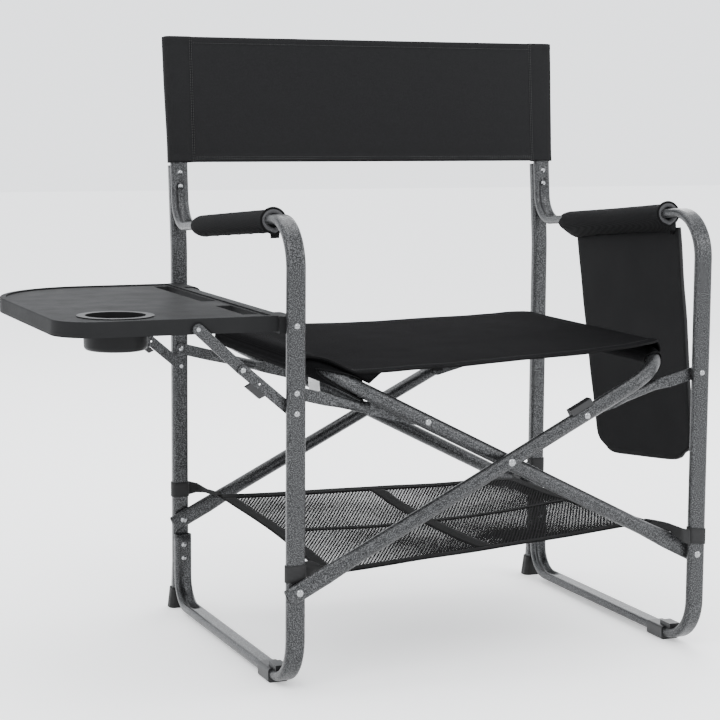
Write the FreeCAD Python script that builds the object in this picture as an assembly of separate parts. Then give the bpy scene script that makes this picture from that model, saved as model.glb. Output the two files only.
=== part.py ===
import FreeCAD, Part
import math
import os

# Folding director chair with a swing-up side table.
# Millimetres. X runs to the sitter's left hand side of the page (chair's right), Y to the back, Z up.
# While it is built, x = 0 is the middle of the seat, y = 0 the middle of the front legs and z = 0 the
# floor. The finished pieces are then moved so that the origin is the middle of the footprint.

Vector = FreeCAD.Vector
X_AXIS = Vector(1, 0, 0)
Y_AXIS = Vector(0, 1, 0)
Z_AXIS = Vector(0, 0, 1)

# ---- driving dimensions ----
HALF_WIDTH = 328.0          # middle of the seat to the middle of a side frame
TUBE_TOP = 930.0            # height of the side frame tube
POST_Y = 549.0              # front leg to rear post
LEAN = math.radians(5.5)    # backward lean of the back
FIT = 0.05                  # radial play of a pin in its hole
CLEAR = 0.3                 # gap between pieces that move past each other
WALL = 1.5                  # tube wall

# side frame loop, a flat oval tube
LOOP_WIDE = 28.0
LOOP_DEEP = 14.0
LOOP_CORNER = 6.0
RAIL_Z = 12.5               # floor rail
LOOP_END_Z = 127.0          # cut end of the loop in front of the rear post
ARM_FRONT_Z = 679.0
ARM_REAR_Z = 633.0
ARM_REAR_Y = 537.5
FLOOR_REAR_BEND = 45.0
FLOOR_FRONT_BEND = 68.0
ARM_FRONT_BEND = 66.0
ARM_REAR_BEND = 45.0

GLIDE_FRONT_Y = 70.0
GLIDE_REAR_Y = 116.0

# rear post
POST_WIDE = 26.0
POST_DEEP = 16.0
POST_CORNER = 5.0
POST_TOP_Z = 728.0
POST_SPLAY_Z = 80.0         # below this height the post leans back
CAP_STEM = 3.5              # the plug in its top stops above the highest rivet
POST_FOOT_Y = 558.0
POST_FOOT_Z = 3.0

# crossed seat bars, round tube
PIVOT_Z = 152.0
CROSS_Z = 318.5
BAR_RADIUS = 11.0
BAR_STEP = 12.0             # each bar stands this far from the plane between the two
RAIL_REACH = 306.0          # crossing to seat rail, along the bar
BAR_BEND = 85.0
ROUND_END = 268.0           # crossing to the start of the flattening
FLAT_START = 320.0
STUB = 18.0                 # bar beyond its lower pivot
FLAT_HALF_WIDE = 13.2
FLAT_HALF_THICK = 6.0

# guide links between the side frames and the bars
LINK_Z = 434.0
FOLDED_ANGLE = math.radians(72.0)
ROD_RADIUS = 8.0
PLATE_WIDE = 18.0
PLATE_THICK = 4.0
LINK_TAPER = 22.0

# rivets
PIN = 3.0
HEAD = 4.4
DOME = 2.4

# side table
HINGE_Z = 528.5
TRAY_TOP = 542.0
TRAY_EDGE = 22.0
TRAY_OUTER = -657.0
TRAY_INNER = -346.0
TRAY_FRONT = 15.0
TRAY_REAR = 533.0
TRAY_SKIN = 3.0
TRAY_FRONT_CORNER = 55.0
TRAY_REAR_CORNER = 165.0
TRAY_RIM = 2.0
LUG_RADIUS = 13.0
CUP_X = -558.0
CUP_Y = 100.0
CUP_INNER = 43.0
CUP_FLANGE = 54.0
CUP_BOTTOM_Z = 493.0

# folding struts under the table
STRUT_WIDE = 16.0
STRUT_THICK = 2.5
STRUT_FOOT = (-HALF_WIDTH, 405.0)
STRUT_ELBOW = (-402.0, 468.0)
STRUT_HEAD = (-466.0, 527.0)
TABLE_FOLD = math.radians(90.0)

# soft parts
PAD_FRONT_Y = 95.0
PAD_REAR_Y = 450.0
PAD_WIDE = 40.0
PAD_HIGH = 38.0
BACK_LOW_Z = 736.0
BACK_HIGH_Z = 937.0
SLEEVE_WIDE = 36.0
SLEEVE_DEEP = 21.0
BACK_PANEL_THICK = 6.0
SEAT_FRONT_Y = 1.0
SEAT_REAR_Y = 486.0
SEAT_LOW_Z = 459.0
SEAT_THICK = 8.0
SEAT_SLEEVE = 3.0
NET_FRONT_Y = 27.0
NET_REAR_Y = 508.0
NET_HALF_WIDE = 268.0
NET_MID_Z = 182.0
NET_RISE_X = 0.03
NET_RISE_Y = 0.012
NET_THICK = 3.0
STRAP_THICK = 0.7
STRAP_HIGH = 24.0
POCKET_FRONT_TOP = (104.0, 636.0)
POCKET_FRONT_LOW = (57.0, 284.0)
POCKET_REAR_LOW = (360.0, 254.0)
POCKET_REAR_TOP = (440.0, 607.0)
POCKET_CLOTH = 2.0
POCKET_X = HALF_WIDTH + LOOP_WIDE / 2 + 1.5

# ---- worked out from the driving dimensions ----
RISER_Y = POST_Y - (LOOP_DEEP + POST_DEEP) / 2
CROSS_RISE = CROSS_Z - PIVOT_Z
BAR_ANGLE = math.atan2(CROSS_RISE, HALF_WIDTH)
BAR_HALF = math.hypot(HALF_WIDTH, CROSS_RISE)
ARM_SLOPE = (ARM_REAR_Z - ARM_FRONT_Z) / ARM_REAR_Y
TOP_Y = ARM_REAR_Y + (TUBE_TOP - ARM_REAR_Z) * math.tan(LEAN)
LINK_RISE = LINK_Z - PIVOT_Z
SINES = math.sin(BAR_ANGLE) + math.sin(FOLDED_ANGLE)
LINK_REACH = BAR_HALF * LINK_RISE / (2 * BAR_HALF * SINES - LINK_RISE)
LINK_END_X = LINK_REACH * math.cos(BAR_ANGLE)
LINK_END_Z = CROSS_Z + LINK_REACH * math.sin(BAR_ANGLE)
LEG_FACE = LOOP_DEEP / 2
POST_FRONT = POST_Y - POST_DEEP / 2
POST_BACK = POST_Y + POST_DEEP / 2


# ---- small tools ----
def placed(shape, origin, x_axis, z_axis):
    """A copy of a shape drawn at the origin, with its own X and Z turned to the given axes."""
    y_axis = z_axis.cross(x_axis)
    rows = FreeCAD.Matrix(
        x_axis.x, y_axis.x, z_axis.x, origin.x,
        x_axis.y, y_axis.y, z_axis.y, origin.y,
        x_axis.z, y_axis.z, z_axis.z, origin.z,
        0, 0, 0, 1)
    copy = shape.copy()
    copy.Placement = FreeCAD.Placement(rows)
    return copy


def unit(vector):
    return vector * (1.0 / vector.Length)


def joined(solids):
    whole = solids[0]
    if len(solids) > 1:
        whole = solids[0].multiFuse(solids[1:])
    return whole


def group(solids):
    return Part.makeCompound(solids)


def block(x0, x1, y0, y1, z0, z1):
    return Part.makeBox(x1 - x0, y1 - y0, z1 - z0, Vector(x0, y0, z0))


def rounded_rect(wide, deep, corner):
    """Closed wire round the origin, `wide` along X and `deep` along Y."""
    a = wide / 2
    b = deep / 2
    edges = []
    for turn, (px, py) in enumerate([(a, b), (-a, b), (-a, -b), (a, -b)]):
        sx = math.copysign(1, px)
        sy = math.copysign(1, py)
        centre = Vector(px - sx * corner, py - sy * corner, 0)
        start = math.radians(90 * turn)
        middle = start + math.radians(45)
        end = start + math.radians(90)
        points = [centre + Vector(math.cos(t), math.sin(t), 0) * corner for t in (start, middle, end)]
        edges.append((points[0], Part.Arc(*points).toShape(), points[2]))
    wire = []
    for (_, arc, end), (start, _, _) in zip(edges, edges[1:] + edges[:1]):
        wire.append(arc)
        if (start - end).Length > 1e-6:
            wire.append(Part.LineSegment(end, start).toShape())
    return Part.Wire(wire)


def oval(half_x, half_y):
    if abs(half_x - half_y) < 1e-6:
        return Part.Wire([Part.Circle(Vector(), Z_AXIS, half_x).toShape()])
    return Part.Wire([Part.Ellipse(Vector(), half_x, half_y).toShape()])


def ring(outer, inner):
    return Part.Face(outer).cut(Part.Face(inner)).Faces[0]


def bent_bar(points, radii, section, normal):
    """Sweeps a section face along straight runs joined by arcs, all in one plane."""
    pieces = []
    start = points[0]
    for i in range(1, len(points)):
        run = unit(points[i] - points[i - 1])
        if i == len(points) - 1:
            pieces.append(placed(section, start, normal, run).extrude(points[i] - start))
            break
        after = unit(points[i + 1] - points[i])
        turn = run.getAngle(after)
        radius = radii[i - 1]
        cut = radius * math.tan(turn / 2)
        end = points[i] - run * cut
        pieces.append(placed(section, start, normal, run).extrude(end - start))
        axis = unit(run.cross(after))
        centre = end + axis.cross(run) * radius
        pieces.append(placed(section, end, normal, run).revolve(centre, axis, math.degrees(turn)))
        start = points[i] + after * cut
    return joined(pieces)


def dome(radius, height):
    """Low domed head standing on the XY plane."""
    ball = (radius ** 2 + height ** 2) / (2 * height)
    half = math.asin(radius / ball) / 2
    rim = Vector(radius, 0, 0)
    top = Vector(0, 0, height)
    middle = Vector(ball * math.sin(half), 0, height - ball + ball * math.cos(half))
    edges = [
        Part.LineSegment(Vector(), rim).toShape(),
        Part.Arc(rim, middle, top).toShape(),
        Part.LineSegment(top, Vector()).toShape()]
    return Part.Face(Part.Wire(edges)).revolve(Vector(), Z_AXIS, 360)


def rivet(front, axis, length, pin=PIN, head=HEAD):
    """A pin from `front` along `axis` with a domed head on each end."""
    side = X_AXIS
    shank = Part.makeCylinder(pin, length, front, axis)
    near = placed(dome(head, DOME), front, side, axis * -1)
    far = placed(dome(head, DOME), front + axis * length, side, axis)
    return joined([shank, near, far])


def rivet_y(x, z, y0, y1, pin=PIN, head=HEAD):
    return rivet(Vector(x, y0, z), Y_AXIS, y1 - y0, pin, head)


def bore_y(x, z, y0, y1, radius=PIN + FIT):
    return Part.makeCylinder(radius, y1 - y0, Vector(x, y0, z), Y_AXIS)


def washer_y(x, z, y0, y1, outer=8.0):
    disc = Part.makeCylinder(outer, y1 - y0, Vector(x, y0, z), Y_AXIS)
    return disc.cut(bore_y(x, z, y0 - 1, y1 + 1))


def flat_link(p, q, y0, y1, wide):
    """Flat bar with round ends between two pivots given as (x, z)."""
    run = unit(Vector(q[0] - p[0], 0, q[1] - p[1]))
    side = Vector(-run.z, 0, run.x) * (wide / 2)
    a = Vector(p[0], y0, p[1])
    b = Vector(q[0], y0, q[1])
    edges = [
        Part.LineSegment(a + side, b + side).toShape(),
        Part.Arc(b + side, b + run * (wide / 2), b - side).toShape(),
        Part.LineSegment(b - side, a - side).toShape(),
        Part.Arc(a - side, a - run * (wide / 2), a + side).toShape()]
    return Part.Face(Part.Wire(edges)).extrude(Y_AXIS * (y1 - y0))


# ---- side frames ----
def loop_path(x):
    """The one long tube of a side frame, from its cut end behind, round by the floor, to its top."""
    route = [(RISER_Y, LOOP_END_Z), (RISER_Y, RAIL_Z), (0, RAIL_Z), (0, ARM_FRONT_Z),
             (ARM_REAR_Y, ARM_REAR_Z), (TOP_Y, TUBE_TOP)]
    return [Vector(x, y, z) for y, z in route]


LOOP_BENDS = [FLOOR_REAR_BEND, FLOOR_FRONT_BEND, ARM_FRONT_BEND, ARM_REAR_BEND]


def back_point(height, behind=0.0):
    """A point on the leaning part of the loop, or `behind` it at a right angle."""
    y = ARM_REAR_Y + (height - ARM_REAR_Z) * math.tan(LEAN)
    return Vector(0, y + behind * math.cos(LEAN), height - behind * math.sin(LEAN))


LEAN_UP = Vector(0, math.sin(LEAN), math.cos(LEAN))
LEAN_BACK = Vector(0, math.cos(LEAN), -math.sin(LEAN))


def post_path(x):
    """Rear post: splayed foot, upright, then leaning with the back, flat against the loop."""
    gap = (LOOP_DEEP + POST_DEEP) / 2
    base = ARM_REAR_Y + gap / math.cos(LEAN)
    knee_z = ARM_REAR_Z - (base - POST_Y) / math.tan(LEAN)
    top_y = base + (POST_TOP_Z - ARM_REAR_Z) * math.tan(LEAN)
    route = [(POST_FOOT_Y, POST_FOOT_Z), (POST_Y, POST_SPLAY_Z), (POST_Y, knee_z), (top_y, POST_TOP_Z)]
    return [Vector(x, y, z) for y, z in route]


def frame_bores(side):
    """Holes for every pin that goes through a side frame."""
    x = side * HALF_WIDTH
    holes = [
        bore_y(x, PIVOT_Z, -10, 10),
        bore_y(x, PIVOT_Z, POST_FRONT - 5, POST_BACK + 5),
        bore_y(x, LINK_Z, -10, 10),
        bore_y(x, LINK_Z, POST_FRONT - 5, POST_BACK + 5)]
    for z in (88, 110):
        holes.append(bore_y(x, z, RISER_Y - 10, POST_BACK + 5))
    for z in (697.5, 720):
        front = back_point(z, -LEG_FACE - 3) + Vector(x, 0, 0)
        holes.append(Part.makeCylinder(PIN + FIT, LOOP_DEEP + POST_DEEP + 8, front, LEAN_BACK))
    if side < 0:
        for z in (HINGE_Z, STRUT_FOOT[1]):
            holes.append(bore_y(x, z, -10, 10))
            holes.append(bore_y(x, z, POST_FRONT - 5, POST_BACK + 5))
    return holes


def side_loop(side):
    outer = rounded_rect(LOOP_WIDE, LOOP_DEEP, LOOP_CORNER)
    inner = rounded_rect(LOOP_WIDE - 2 * WALL, LOOP_DEEP - 2 * WALL, LOOP_CORNER - WALL)
    tube = bent_bar(loop_path(side * HALF_WIDTH), LOOP_BENDS, ring(outer, inner), X_AXIS)
    return tube.cut(frame_bores(side))


def rear_post(side):
    outer = rounded_rect(POST_WIDE, POST_DEEP, POST_CORNER)
    inner = rounded_rect(POST_WIDE - 2 * WALL, POST_DEEP - 2 * WALL, POST_CORNER - WALL)
    tube = bent_bar(post_path(side * HALF_WIDTH), [60, 300], ring(outer, inner), X_AXIS)
    return tube.cut(frame_bores(side))


def post_cap(side):
    """Plastic plug in the open top of the rear post."""
    top = post_path(side * HALF_WIDTH)[-1]
    head = Part.Face(rounded_rect(POST_WIDE, POST_DEEP, POST_CORNER)).extrude(Z_AXIS * 3)
    narrow = 2 * WALL + 0.2
    stem = Part.Face(rounded_rect(POST_WIDE - narrow, POST_DEEP - narrow, POST_CORNER - WALL))
    whole = head.fuse(stem.extrude(Z_AXIS * -CAP_STEM))
    return placed(whole, top, X_AXIS, LEAN_UP)


def rear_foot(side):
    """Rubber boot on the splayed end of the rear post."""
    foot, knee = post_path(side * HALF_WIDTH)[:2]
    up = unit(knee - foot)
    low = placed(rounded_rect(POST_WIDE + 11, POST_DEEP + 10, 9), foot - up * 12, X_AXIS, up)
    high = placed(rounded_rect(POST_WIDE + 5, POST_DEEP + 5, 7), foot + up * 31, X_AXIS, up)
    boot = Part.makeLoft([low, high], True, True)
    hole = Part.Face(rounded_rect(POST_WIDE + 0.1, POST_DEEP + 0.1, POST_CORNER))
    hole = placed(hole, foot, X_AXIS, up).extrude(up * 60)
    below = block(-500, 500, 400, 700, -60, 0)
    return boot.cut([hole, below])


def front_glide(side):
    """Plastic saddle under the floor rail, with a tab that grips its top."""
    x = side * HALF_WIDTH
    half = LOOP_WIDE / 2 + 1.6
    top = RAIL_Z + LEG_FACE
    saddle = block(x - half, x + half, GLIDE_FRONT_Y, GLIDE_REAR_Y, 0, top + 2)
    saddle = saddle.makeFillet(4, [e for e in saddle.Edges if abs(e.BoundBox.YLength) > 30])
    tab = block(x - 9, x + 9, GLIDE_FRONT_Y - 14, GLIDE_FRONT_Y + 16, top, top + 9)
    rail = Part.Face(rounded_rect(LOOP_WIDE, LOOP_DEEP, LOOP_CORNER))
    return joined([saddle, tab]).cut(bent_bar(loop_path(x), LOOP_BENDS, rail, X_AXIS))


def frame_rivets(side):
    """The rivets that hold one side frame together and carry the bars and links on it."""
    x = side * HALF_WIDTH
    solids = []
    for z in (88, 110):
        solids.append(rivet_y(x, z, RISER_Y - LEG_FACE, POST_BACK))
    for z in (697.5, 720):
        front = back_point(z, -LEG_FACE) + Vector(x, 0, 0)
        solids.append(rivet(front, LEAN_BACK, LOOP_DEEP + POST_DEEP))
    plate_back = LEG_FACE + 0.5 + PLATE_THICK + CLEAR
    solids.append(rivet_y(x, LINK_Z, -LEG_FACE, plate_back))
    solids.append(rivet_y(x, LINK_Z, POST_FRONT - 0.5 - PLATE_THICK - CLEAR, POST_BACK))
    return group(solids)


# y of the flattened bar ends: the right-hand bar in front of the left frame, the other behind the right
BAR_FLATS = {
    1: (-LEG_FACE - 1.2 - FLAT_HALF_THICK, POST_FRONT - 1.0 - FLAT_HALF_THICK),
    -1: (LEG_FACE + 1.2 + FLAT_HALF_THICK, POST_BACK + 1.0 + FLAT_HALF_THICK)}


def pivot_rivets(rise):
    """Lower pivots of the bar that rises to side `rise`, fixed in the opposite side frame."""
    x = -rise * HALF_WIDTH
    front, rear = BAR_FLATS[rise]
    reach = FLAT_HALF_THICK + CLEAR
    if rise > 0:
        spans = [(front - reach, LEG_FACE), (rear - reach, POST_BACK)]
    else:
        spans = [(-LEG_FACE, front + reach), (POST_FRONT, rear + reach)]
    return group([rivet_y(x, PIVOT_Z, y0, y1, PIN, 5.2) for y0, y1 in spans])


def pivot_washers(rise):
    x = -rise * HALF_WIDTH
    if rise > 0:
        spans = [(-LEG_FACE - 0.6, -LEG_FACE), (POST_FRONT - 0.5, POST_FRONT)]
    else:
        spans = [(LEG_FACE, LEG_FACE + 0.6), (POST_BACK, POST_BACK + 0.5)]
    return group([washer_y(x, PIVOT_Z, y0, y1) for y0, y1 in spans])


# ---- crossed seat bars ----
BAR_MIDDLE_Y = {1: -BAR_STEP, -1: BAR_STEP}


def bar_up(rise):
    return Vector(rise * math.cos(BAR_ANGLE), 0, math.sin(BAR_ANGLE))


def bar_normal(rise):
    return Vector(-rise * math.sin(BAR_ANGLE), 0, math.cos(BAR_ANGLE))


def bar_point(rise, along, y):
    return Vector(0, y, CROSS_Z) + bar_up(rise) * along


def bar_path(rise):
    front = BAR_MIDDLE_Y[rise]
    rear = front + POST_Y
    return [bar_point(rise, -ROUND_END, front), bar_point(rise, RAIL_REACH, front),
            bar_point(rise, RAIL_REACH, rear), bar_point(rise, -ROUND_END, rear)]


def flattened_end(rise, y, flat_y, shrink):
    """Round tube squeezed to a flat end with the pivot hole, as a solid `shrink` smaller all round."""
    up = bar_up(rise)
    normal = bar_normal(rise)
    radius = BAR_RADIUS - shrink
    wide = FLAT_HALF_WIDE - shrink
    thick = FLAT_HALF_THICK - shrink
    spare = 1.0 if shrink else 0.0
    begin = placed(oval(radius, radius), bar_point(rise, -ROUND_END, y), normal, up * -1)
    flat = placed(oval(wide, thick), bar_point(rise, -FLAT_START, flat_y), normal, up * -1)
    neck = Part.makeLoft([begin, flat], True, True)
    length = BAR_HALF + STUB - FLAT_START + spare
    return neck.fuse(Part.Face(flat).extrude(up * -length))


def seat_bar(rise):
    """U-shaped tube: up from one frame, along under the seat edge as its rail, and back down."""
    section = ring(oval(BAR_RADIUS, BAR_RADIUS), oval(BAR_RADIUS - WALL, BAR_RADIUS - WALL))
    solids = [bent_bar(bar_path(rise), [BAR_BEND, BAR_BEND], section, bar_normal(rise))]
    middles = (BAR_MIDDLE_Y[rise], BAR_MIDDLE_Y[rise] + POST_Y)
    for y, flat_y in zip(middles, BAR_FLATS[rise]):
        end = flattened_end(rise, y, flat_y, 0.0).cut(flattened_end(rise, y, flat_y, WALL))
        solids.append(end)
    holes = []
    for y in middles:
        holes.append(bore_y(0, CROSS_Z, y - 15, y + 15))
        holes.append(bore_y(rise * LINK_END_X, LINK_END_Z, y - 15, y + 15))
        holes.append(bore_y(-rise * HALF_WIDTH, PIVOT_Z, y - 15, y + 15))
    return joined(solids).cut(holes)


def crossing_rivets():
    spans = [(-BAR_STEP - BAR_RADIUS, BAR_STEP + BAR_RADIUS + CLEAR + 0.4)]
    spans.append((spans[0][0] + POST_Y, spans[0][1] + POST_Y))
    return group([rivet_y(0, CROSS_Z, y0, y1, PIN, 5.6) for y0, y1 in spans])


def crossing_washers():
    half = BAR_STEP - BAR_RADIUS - CLEAR
    return group([washer_y(0, CROSS_Z, y - half, y + half, 9.0) for y in (0, POST_Y)])


def link_rivets(rise):
    """Pins through a bar for its guide links. A head shows only on the side away from the link."""
    x = rise * LINK_END_X
    stop = BAR_RADIUS - 0.5
    front = BAR_MIDDLE_Y[rise]
    rear = front + POST_Y
    first = rivet_y(x, LINK_END_Z, front - BAR_RADIUS, front + stop, PIN, 4.8)
    last = rivet_y(x, LINK_END_Z, rear - stop, rear + BAR_RADIUS, PIN, 4.8)
    behind = block(x - 9, x + 9, front + stop, front + stop + 9, LINK_END_Z - 9, LINK_END_Z + 9)
    before = block(x - 9, x + 9, rear - stop - 9, rear - stop, LINK_END_Z - 9, LINK_END_Z + 9)
    return group([first.cut(behind), last.cut(before)])


def fold_stop():
    """Small plastic bumper on top of the right-hand bar."""
    up = bar_up(1)
    base = bar_point(1, 118, BAR_MIDDLE_Y[1] - 7) + bar_normal(1) * (BAR_RADIUS - 1.5)
    body = placed(Part.makeBox(14, 10, 38), base, Y_AXIS, up)
    tube = Part.makeCylinder(BAR_RADIUS, 60, bar_point(1, 108, BAR_MIDDLE_Y[1]), up)
    return body.cut(tube)


def guide_link(frame_x, bar_x, frame_y, bar_y, rod_ys, bar_flat):
    """Rod with a flat plate at each end, from a side frame to a seat bar."""
    frame_flat = 52.0
    start = Vector(frame_x, 0, LINK_Z)
    run = unit(Vector(bar_x - frame_x, 0, LINK_END_Z - LINK_Z))
    length = math.hypot(bar_x - frame_x, LINK_END_Z - LINK_Z)
    side = Vector(-run.z, 0, run.x)
    stations = [
        (frame_flat, frame_y, PLATE_WIDE / 2, PLATE_THICK / 2),
        (frame_flat + LINK_TAPER, rod_ys[0], ROD_RADIUS, ROD_RADIUS),
        (length - bar_flat - LINK_TAPER, rod_ys[1], ROD_RADIUS, ROD_RADIUS),
        (length - bar_flat, bar_y, PLATE_WIDE / 2, PLATE_THICK / 2)]
    wires = []
    for along, y, half_wide, half_thick in stations:
        at = start + run * along + Y_AXIS * y
        wires.append(placed(oval(half_wide, half_thick), at, side, run))
    solids = [Part.makeLoft([a, b], True, True) for a, b in zip(wires, wires[1:])]
    for near, far, y in ((0, frame_flat, frame_y), (length - bar_flat, length, bar_y)):
        p = start + run * near
        q = start + run * far
        plate = flat_link((p.x, p.z), (q.x, q.z), y - PLATE_THICK / 2, y + PLATE_THICK / 2, PLATE_WIDE)
        inner = q if near == 0 else p
        outward = run if near == 0 else run * -1
        trim = placed(Part.makeBox(40, 40, 20), inner - side * 20 + Y_AXIS * (y + 20), side, outward)
        plate = plate.cut(trim)
        pin = p if near == 0 else q
        solids.append(plate.cut(bore_y(pin.x, pin.z, y - 5, y + 5)))
    return joined(solids)


# ---- side table ----
def corner_arc(cx, cy, radius, start):
    """Quarter circle in the tray's plan, from `start` degrees."""
    points = []
    for t in (start, start + 45, start + 90):
        angle = math.radians(t)
        points.append(Vector(cx + radius * math.cos(angle), cy + radius * math.sin(angle), 0))
    return points


def tray_outline(inset):
    """Plan of the tray: a small front and a large rear corner on the outer side."""
    x0 = TRAY_OUTER + inset
    x1 = TRAY_INNER - inset
    y0 = TRAY_FRONT + inset
    y1 = TRAY_REAR - inset
    front = TRAY_FRONT_CORNER - inset
    rear = TRAY_REAR_CORNER - inset
    small = 4.0
    arcs = [
        corner_arc(x1 - small, y1 - small, small, 0),
        corner_arc(x0 + rear, y1 - rear, rear, 90),
        corner_arc(x0 + front, y0 + front, front, 180),
        corner_arc(x1 - small, y0 + small, small, 270)]
    edges = []
    for arc, after in zip(arcs, arcs[1:] + arcs[:1]):
        edges.append(Part.Arc(*arc).toShape())
        edges.append(Part.LineSegment(arc[2], after[0]).toShape())
    return Part.Wire(edges)


def tray_slab(inset, z0, z1):
    face = Part.Face(tray_outline(inset))
    face.translate(Vector(0, 0, z0))
    return face.extrude(Z_AXIS * (z1 - z0))


SLOT_X = (-384.0, -360.0)
SLOTS = ((62.0, 188.0), (255.0, 505.0))
LUG_SPANS = ((LEG_FACE + 1, 69.0), (471.0, POST_FRONT - 1))


def side_tray():
    """Moulded tray: top with a raised rim, skirt, ribs, two slots, and lugs for the hinge screws."""
    low = TRAY_TOP - TRAY_EDGE
    floor = TRAY_TOP - TRAY_RIM
    body = tray_slab(0, low, TRAY_TOP)
    body = body.makeFillet(2.0, [e for e in body.Edges if abs(e.BoundBox.ZMin - TRAY_TOP) < 0.01])
    body = body.cut([tray_slab(9, floor, TRAY_TOP + 1), tray_slab(TRAY_SKIN, low - 1, floor - TRAY_SKIN)])
    strip = block(TRAY_INNER - 1, TRAY_INNER + 14, 71, 469, low + 2, floor)
    solids = [body, strip]
    for y0, y1 in LUG_SPANS:
        solids.append(Part.makeCylinder(LUG_RADIUS, y1 - y0, Vector(-HALF_WIDTH, y0, HINGE_Z), Y_AXIS))
        web_low = HINGE_Z - LUG_RADIUS + 2
        solids.append(block(TRAY_INNER - 3, -HALF_WIDTH, y0, y1, web_low, HINGE_Z + LUG_RADIUS))
    walls = []
    for y0, y1 in SLOTS:
        walls.append(block(SLOT_X[0] - 2, SLOT_X[1] + 2, y0 - 2, y1 + 2, low + 4, floor - 1))
    for y in (180, 330, 440):
        walls.append(block(TRAY_OUTER + 30, TRAY_INNER - 2, y, y + 2.5, low + 5, floor - 1))
    cup_seat = Part.makeCylinder(CUP_INNER + 7, TRAY_EDGE - 7, Vector(CUP_X, CUP_Y, low + 4))
    holes = []
    for y0, y1 in SLOTS:
        holes.append(block(SLOT_X[0], SLOT_X[1], y0, y1, low - 5, TRAY_TOP + 5))
    holes.append(Part.makeCylinder(CUP_INNER + 3.2, 60, Vector(CUP_X, CUP_Y, low - 10)))
    holes.append(Part.makeCylinder(CUP_FLANGE + 0.3, 3, Vector(CUP_X, CUP_Y, floor - 0.8)))
    holes.append(bore_y(-HALF_WIDTH, HINGE_Z, 0, 60))
    holes.append(bore_y(-HALF_WIDTH, HINGE_Z, POST_FRONT - 54, POST_FRONT + 2))
    for y0, y1 in ((TRAY_FRONT - 1, TRAY_FRONT + 0.8), (TRAY_REAR - 0.8, TRAY_REAR + 1)):
        head = flat_link(STRUT_HEAD, (STRUT_HEAD[0] + 60, STRUT_HEAD[1] - 55), y0, y1, STRUT_WIDE + 5)
        holes.append(head)
    return joined(solids + walls + [cup_seat]).cut(holes)


def cup_holder():
    """Round cup that drops into the tray, with a flange on the tray's top."""
    floor = TRAY_TOP - TRAY_RIM - 0.8
    at = Vector(CUP_X, CUP_Y, 0)
    flange = Part.makeCylinder(CUP_FLANGE, 2.3, at + Z_AXIS * floor)
    body = Part.makeCone(CUP_INNER + 1, CUP_INNER + 3, floor - CUP_BOTTOM_Z + 0.5, at + Z_AXIS * CUP_BOTTOM_Z)
    lower = [e for e in body.Edges if e.BoundBox.ZMax < CUP_BOTTOM_Z + 0.1]
    body = body.makeFillet(6, lower)
    bowl = Part.makeCone(CUP_INNER - 1.5, CUP_INNER, 80, at + Z_AXIS * (CUP_BOTTOM_Z + 2.5))
    bowl = bowl.makeFillet(5, [e for e in bowl.Edges if e.BoundBox.ZMax < CUP_BOTTOM_Z + 3])
    drain = Part.makeCylinder(4, 10, at + Z_AXIS * (CUP_BOTTOM_Z - 2))
    return joined([flange, body]).cut([bowl, drain])


def tray_hinge_screws():
    """Screws through the front leg and the rear post into the tray's lugs."""
    front = rivet_y(-HALF_WIDTH, HINGE_Z, -LEG_FACE, 50).cut(block(-400, -200, 50, 60, 400, 600))
    rear = rivet_y(-HALF_WIDTH, HINGE_Z, POST_FRONT - 45, POST_BACK)
    rear = rear.cut(block(-400, -200, POST_FRONT - 60, POST_FRONT - 45, 400, 600))
    return group([front, rear])


# each strut pair: y of the lower bar, y of the upper bar, and which way is outward from the tray
STRUTS = {
    "front": ((LEG_FACE + 0.5, LEG_FACE + 0.5 + STRUT_THICK), (LEG_FACE + 3.3, LEG_FACE + 5.8), -1),
    "rear": ((POST_FRONT - 3.0, POST_FRONT - 0.5), (POST_FRONT - 5.8, POST_FRONT - 3.3), 1)}
STRUT_RUN = unit(Vector(STRUT_ELBOW[0] - STRUT_FOOT[0], 0, STRUT_ELBOW[1] - STRUT_FOOT[1]))
STRUT_BELOW = Vector(-STRUT_RUN.z, 0, STRUT_RUN.x)
CATCH_ALONG = 66.0
CATCH_BELOW = 11.5
CATCH_PIN = 1.5


def strut_point(along, below):
    """A point beside the lower strut, `along` it from its foot and `below` its middle line."""
    return Vector(STRUT_FOOT[0], 0, STRUT_FOOT[1]) + STRUT_RUN * along + STRUT_BELOW * below


def lower_strut(end):
    """Flat bar on the side frame, with an ear below its edge that carries the catch."""
    (y0, y1), _, _ = STRUTS[end]
    bar = flat_link(STRUT_FOOT, STRUT_ELBOW, y0, y1, STRUT_WIDE)
    ear = strut_point(CATCH_ALONG, CATCH_BELOW)
    lug = Part.makeCylinder(4.5, y1 - y0, Vector(ear.x, y0, ear.z), Y_AXIS)
    hole = strut_point(CATCH_ALONG, 0)
    cuts = [bore_y(STRUT_FOOT[0], STRUT_FOOT[1], y0 - 1, y1 + 1),
            bore_y(STRUT_ELBOW[0], STRUT_ELBOW[1], y0 - 1, y1 + 1),
            bore_y(hole.x, hole.z, y0 - 1, y1 + 1, 1.6),
            bore_y(ear.x, ear.z, y0 - 1, y1 + 1, CATCH_PIN + FIT)]
    return joined([bar, lug]).cut(cuts)


def upper_strut(end):
    _, (y0, y1), _ = STRUTS[end]
    bar = flat_link(STRUT_ELBOW, STRUT_HEAD, y0, y1, STRUT_WIDE)
    return bar.cut([bore_y(p[0], p[1], y0 - 1, y1 + 1) for p in (STRUT_ELBOW, STRUT_HEAD)])


def half_rivet(x, z, y0, y1, out):
    """A rivet with its domed head on the outward side only."""
    whole = rivet_y(x, z, y0, y1)
    if out < 0:
        return whole.cut(block(x - 9, x + 9, y1, y1 + 9, z - 9, z + 9))
    return whole.cut(block(x - 9, x + 9, y0 - 9, y0, z - 9, z + 9))


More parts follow.
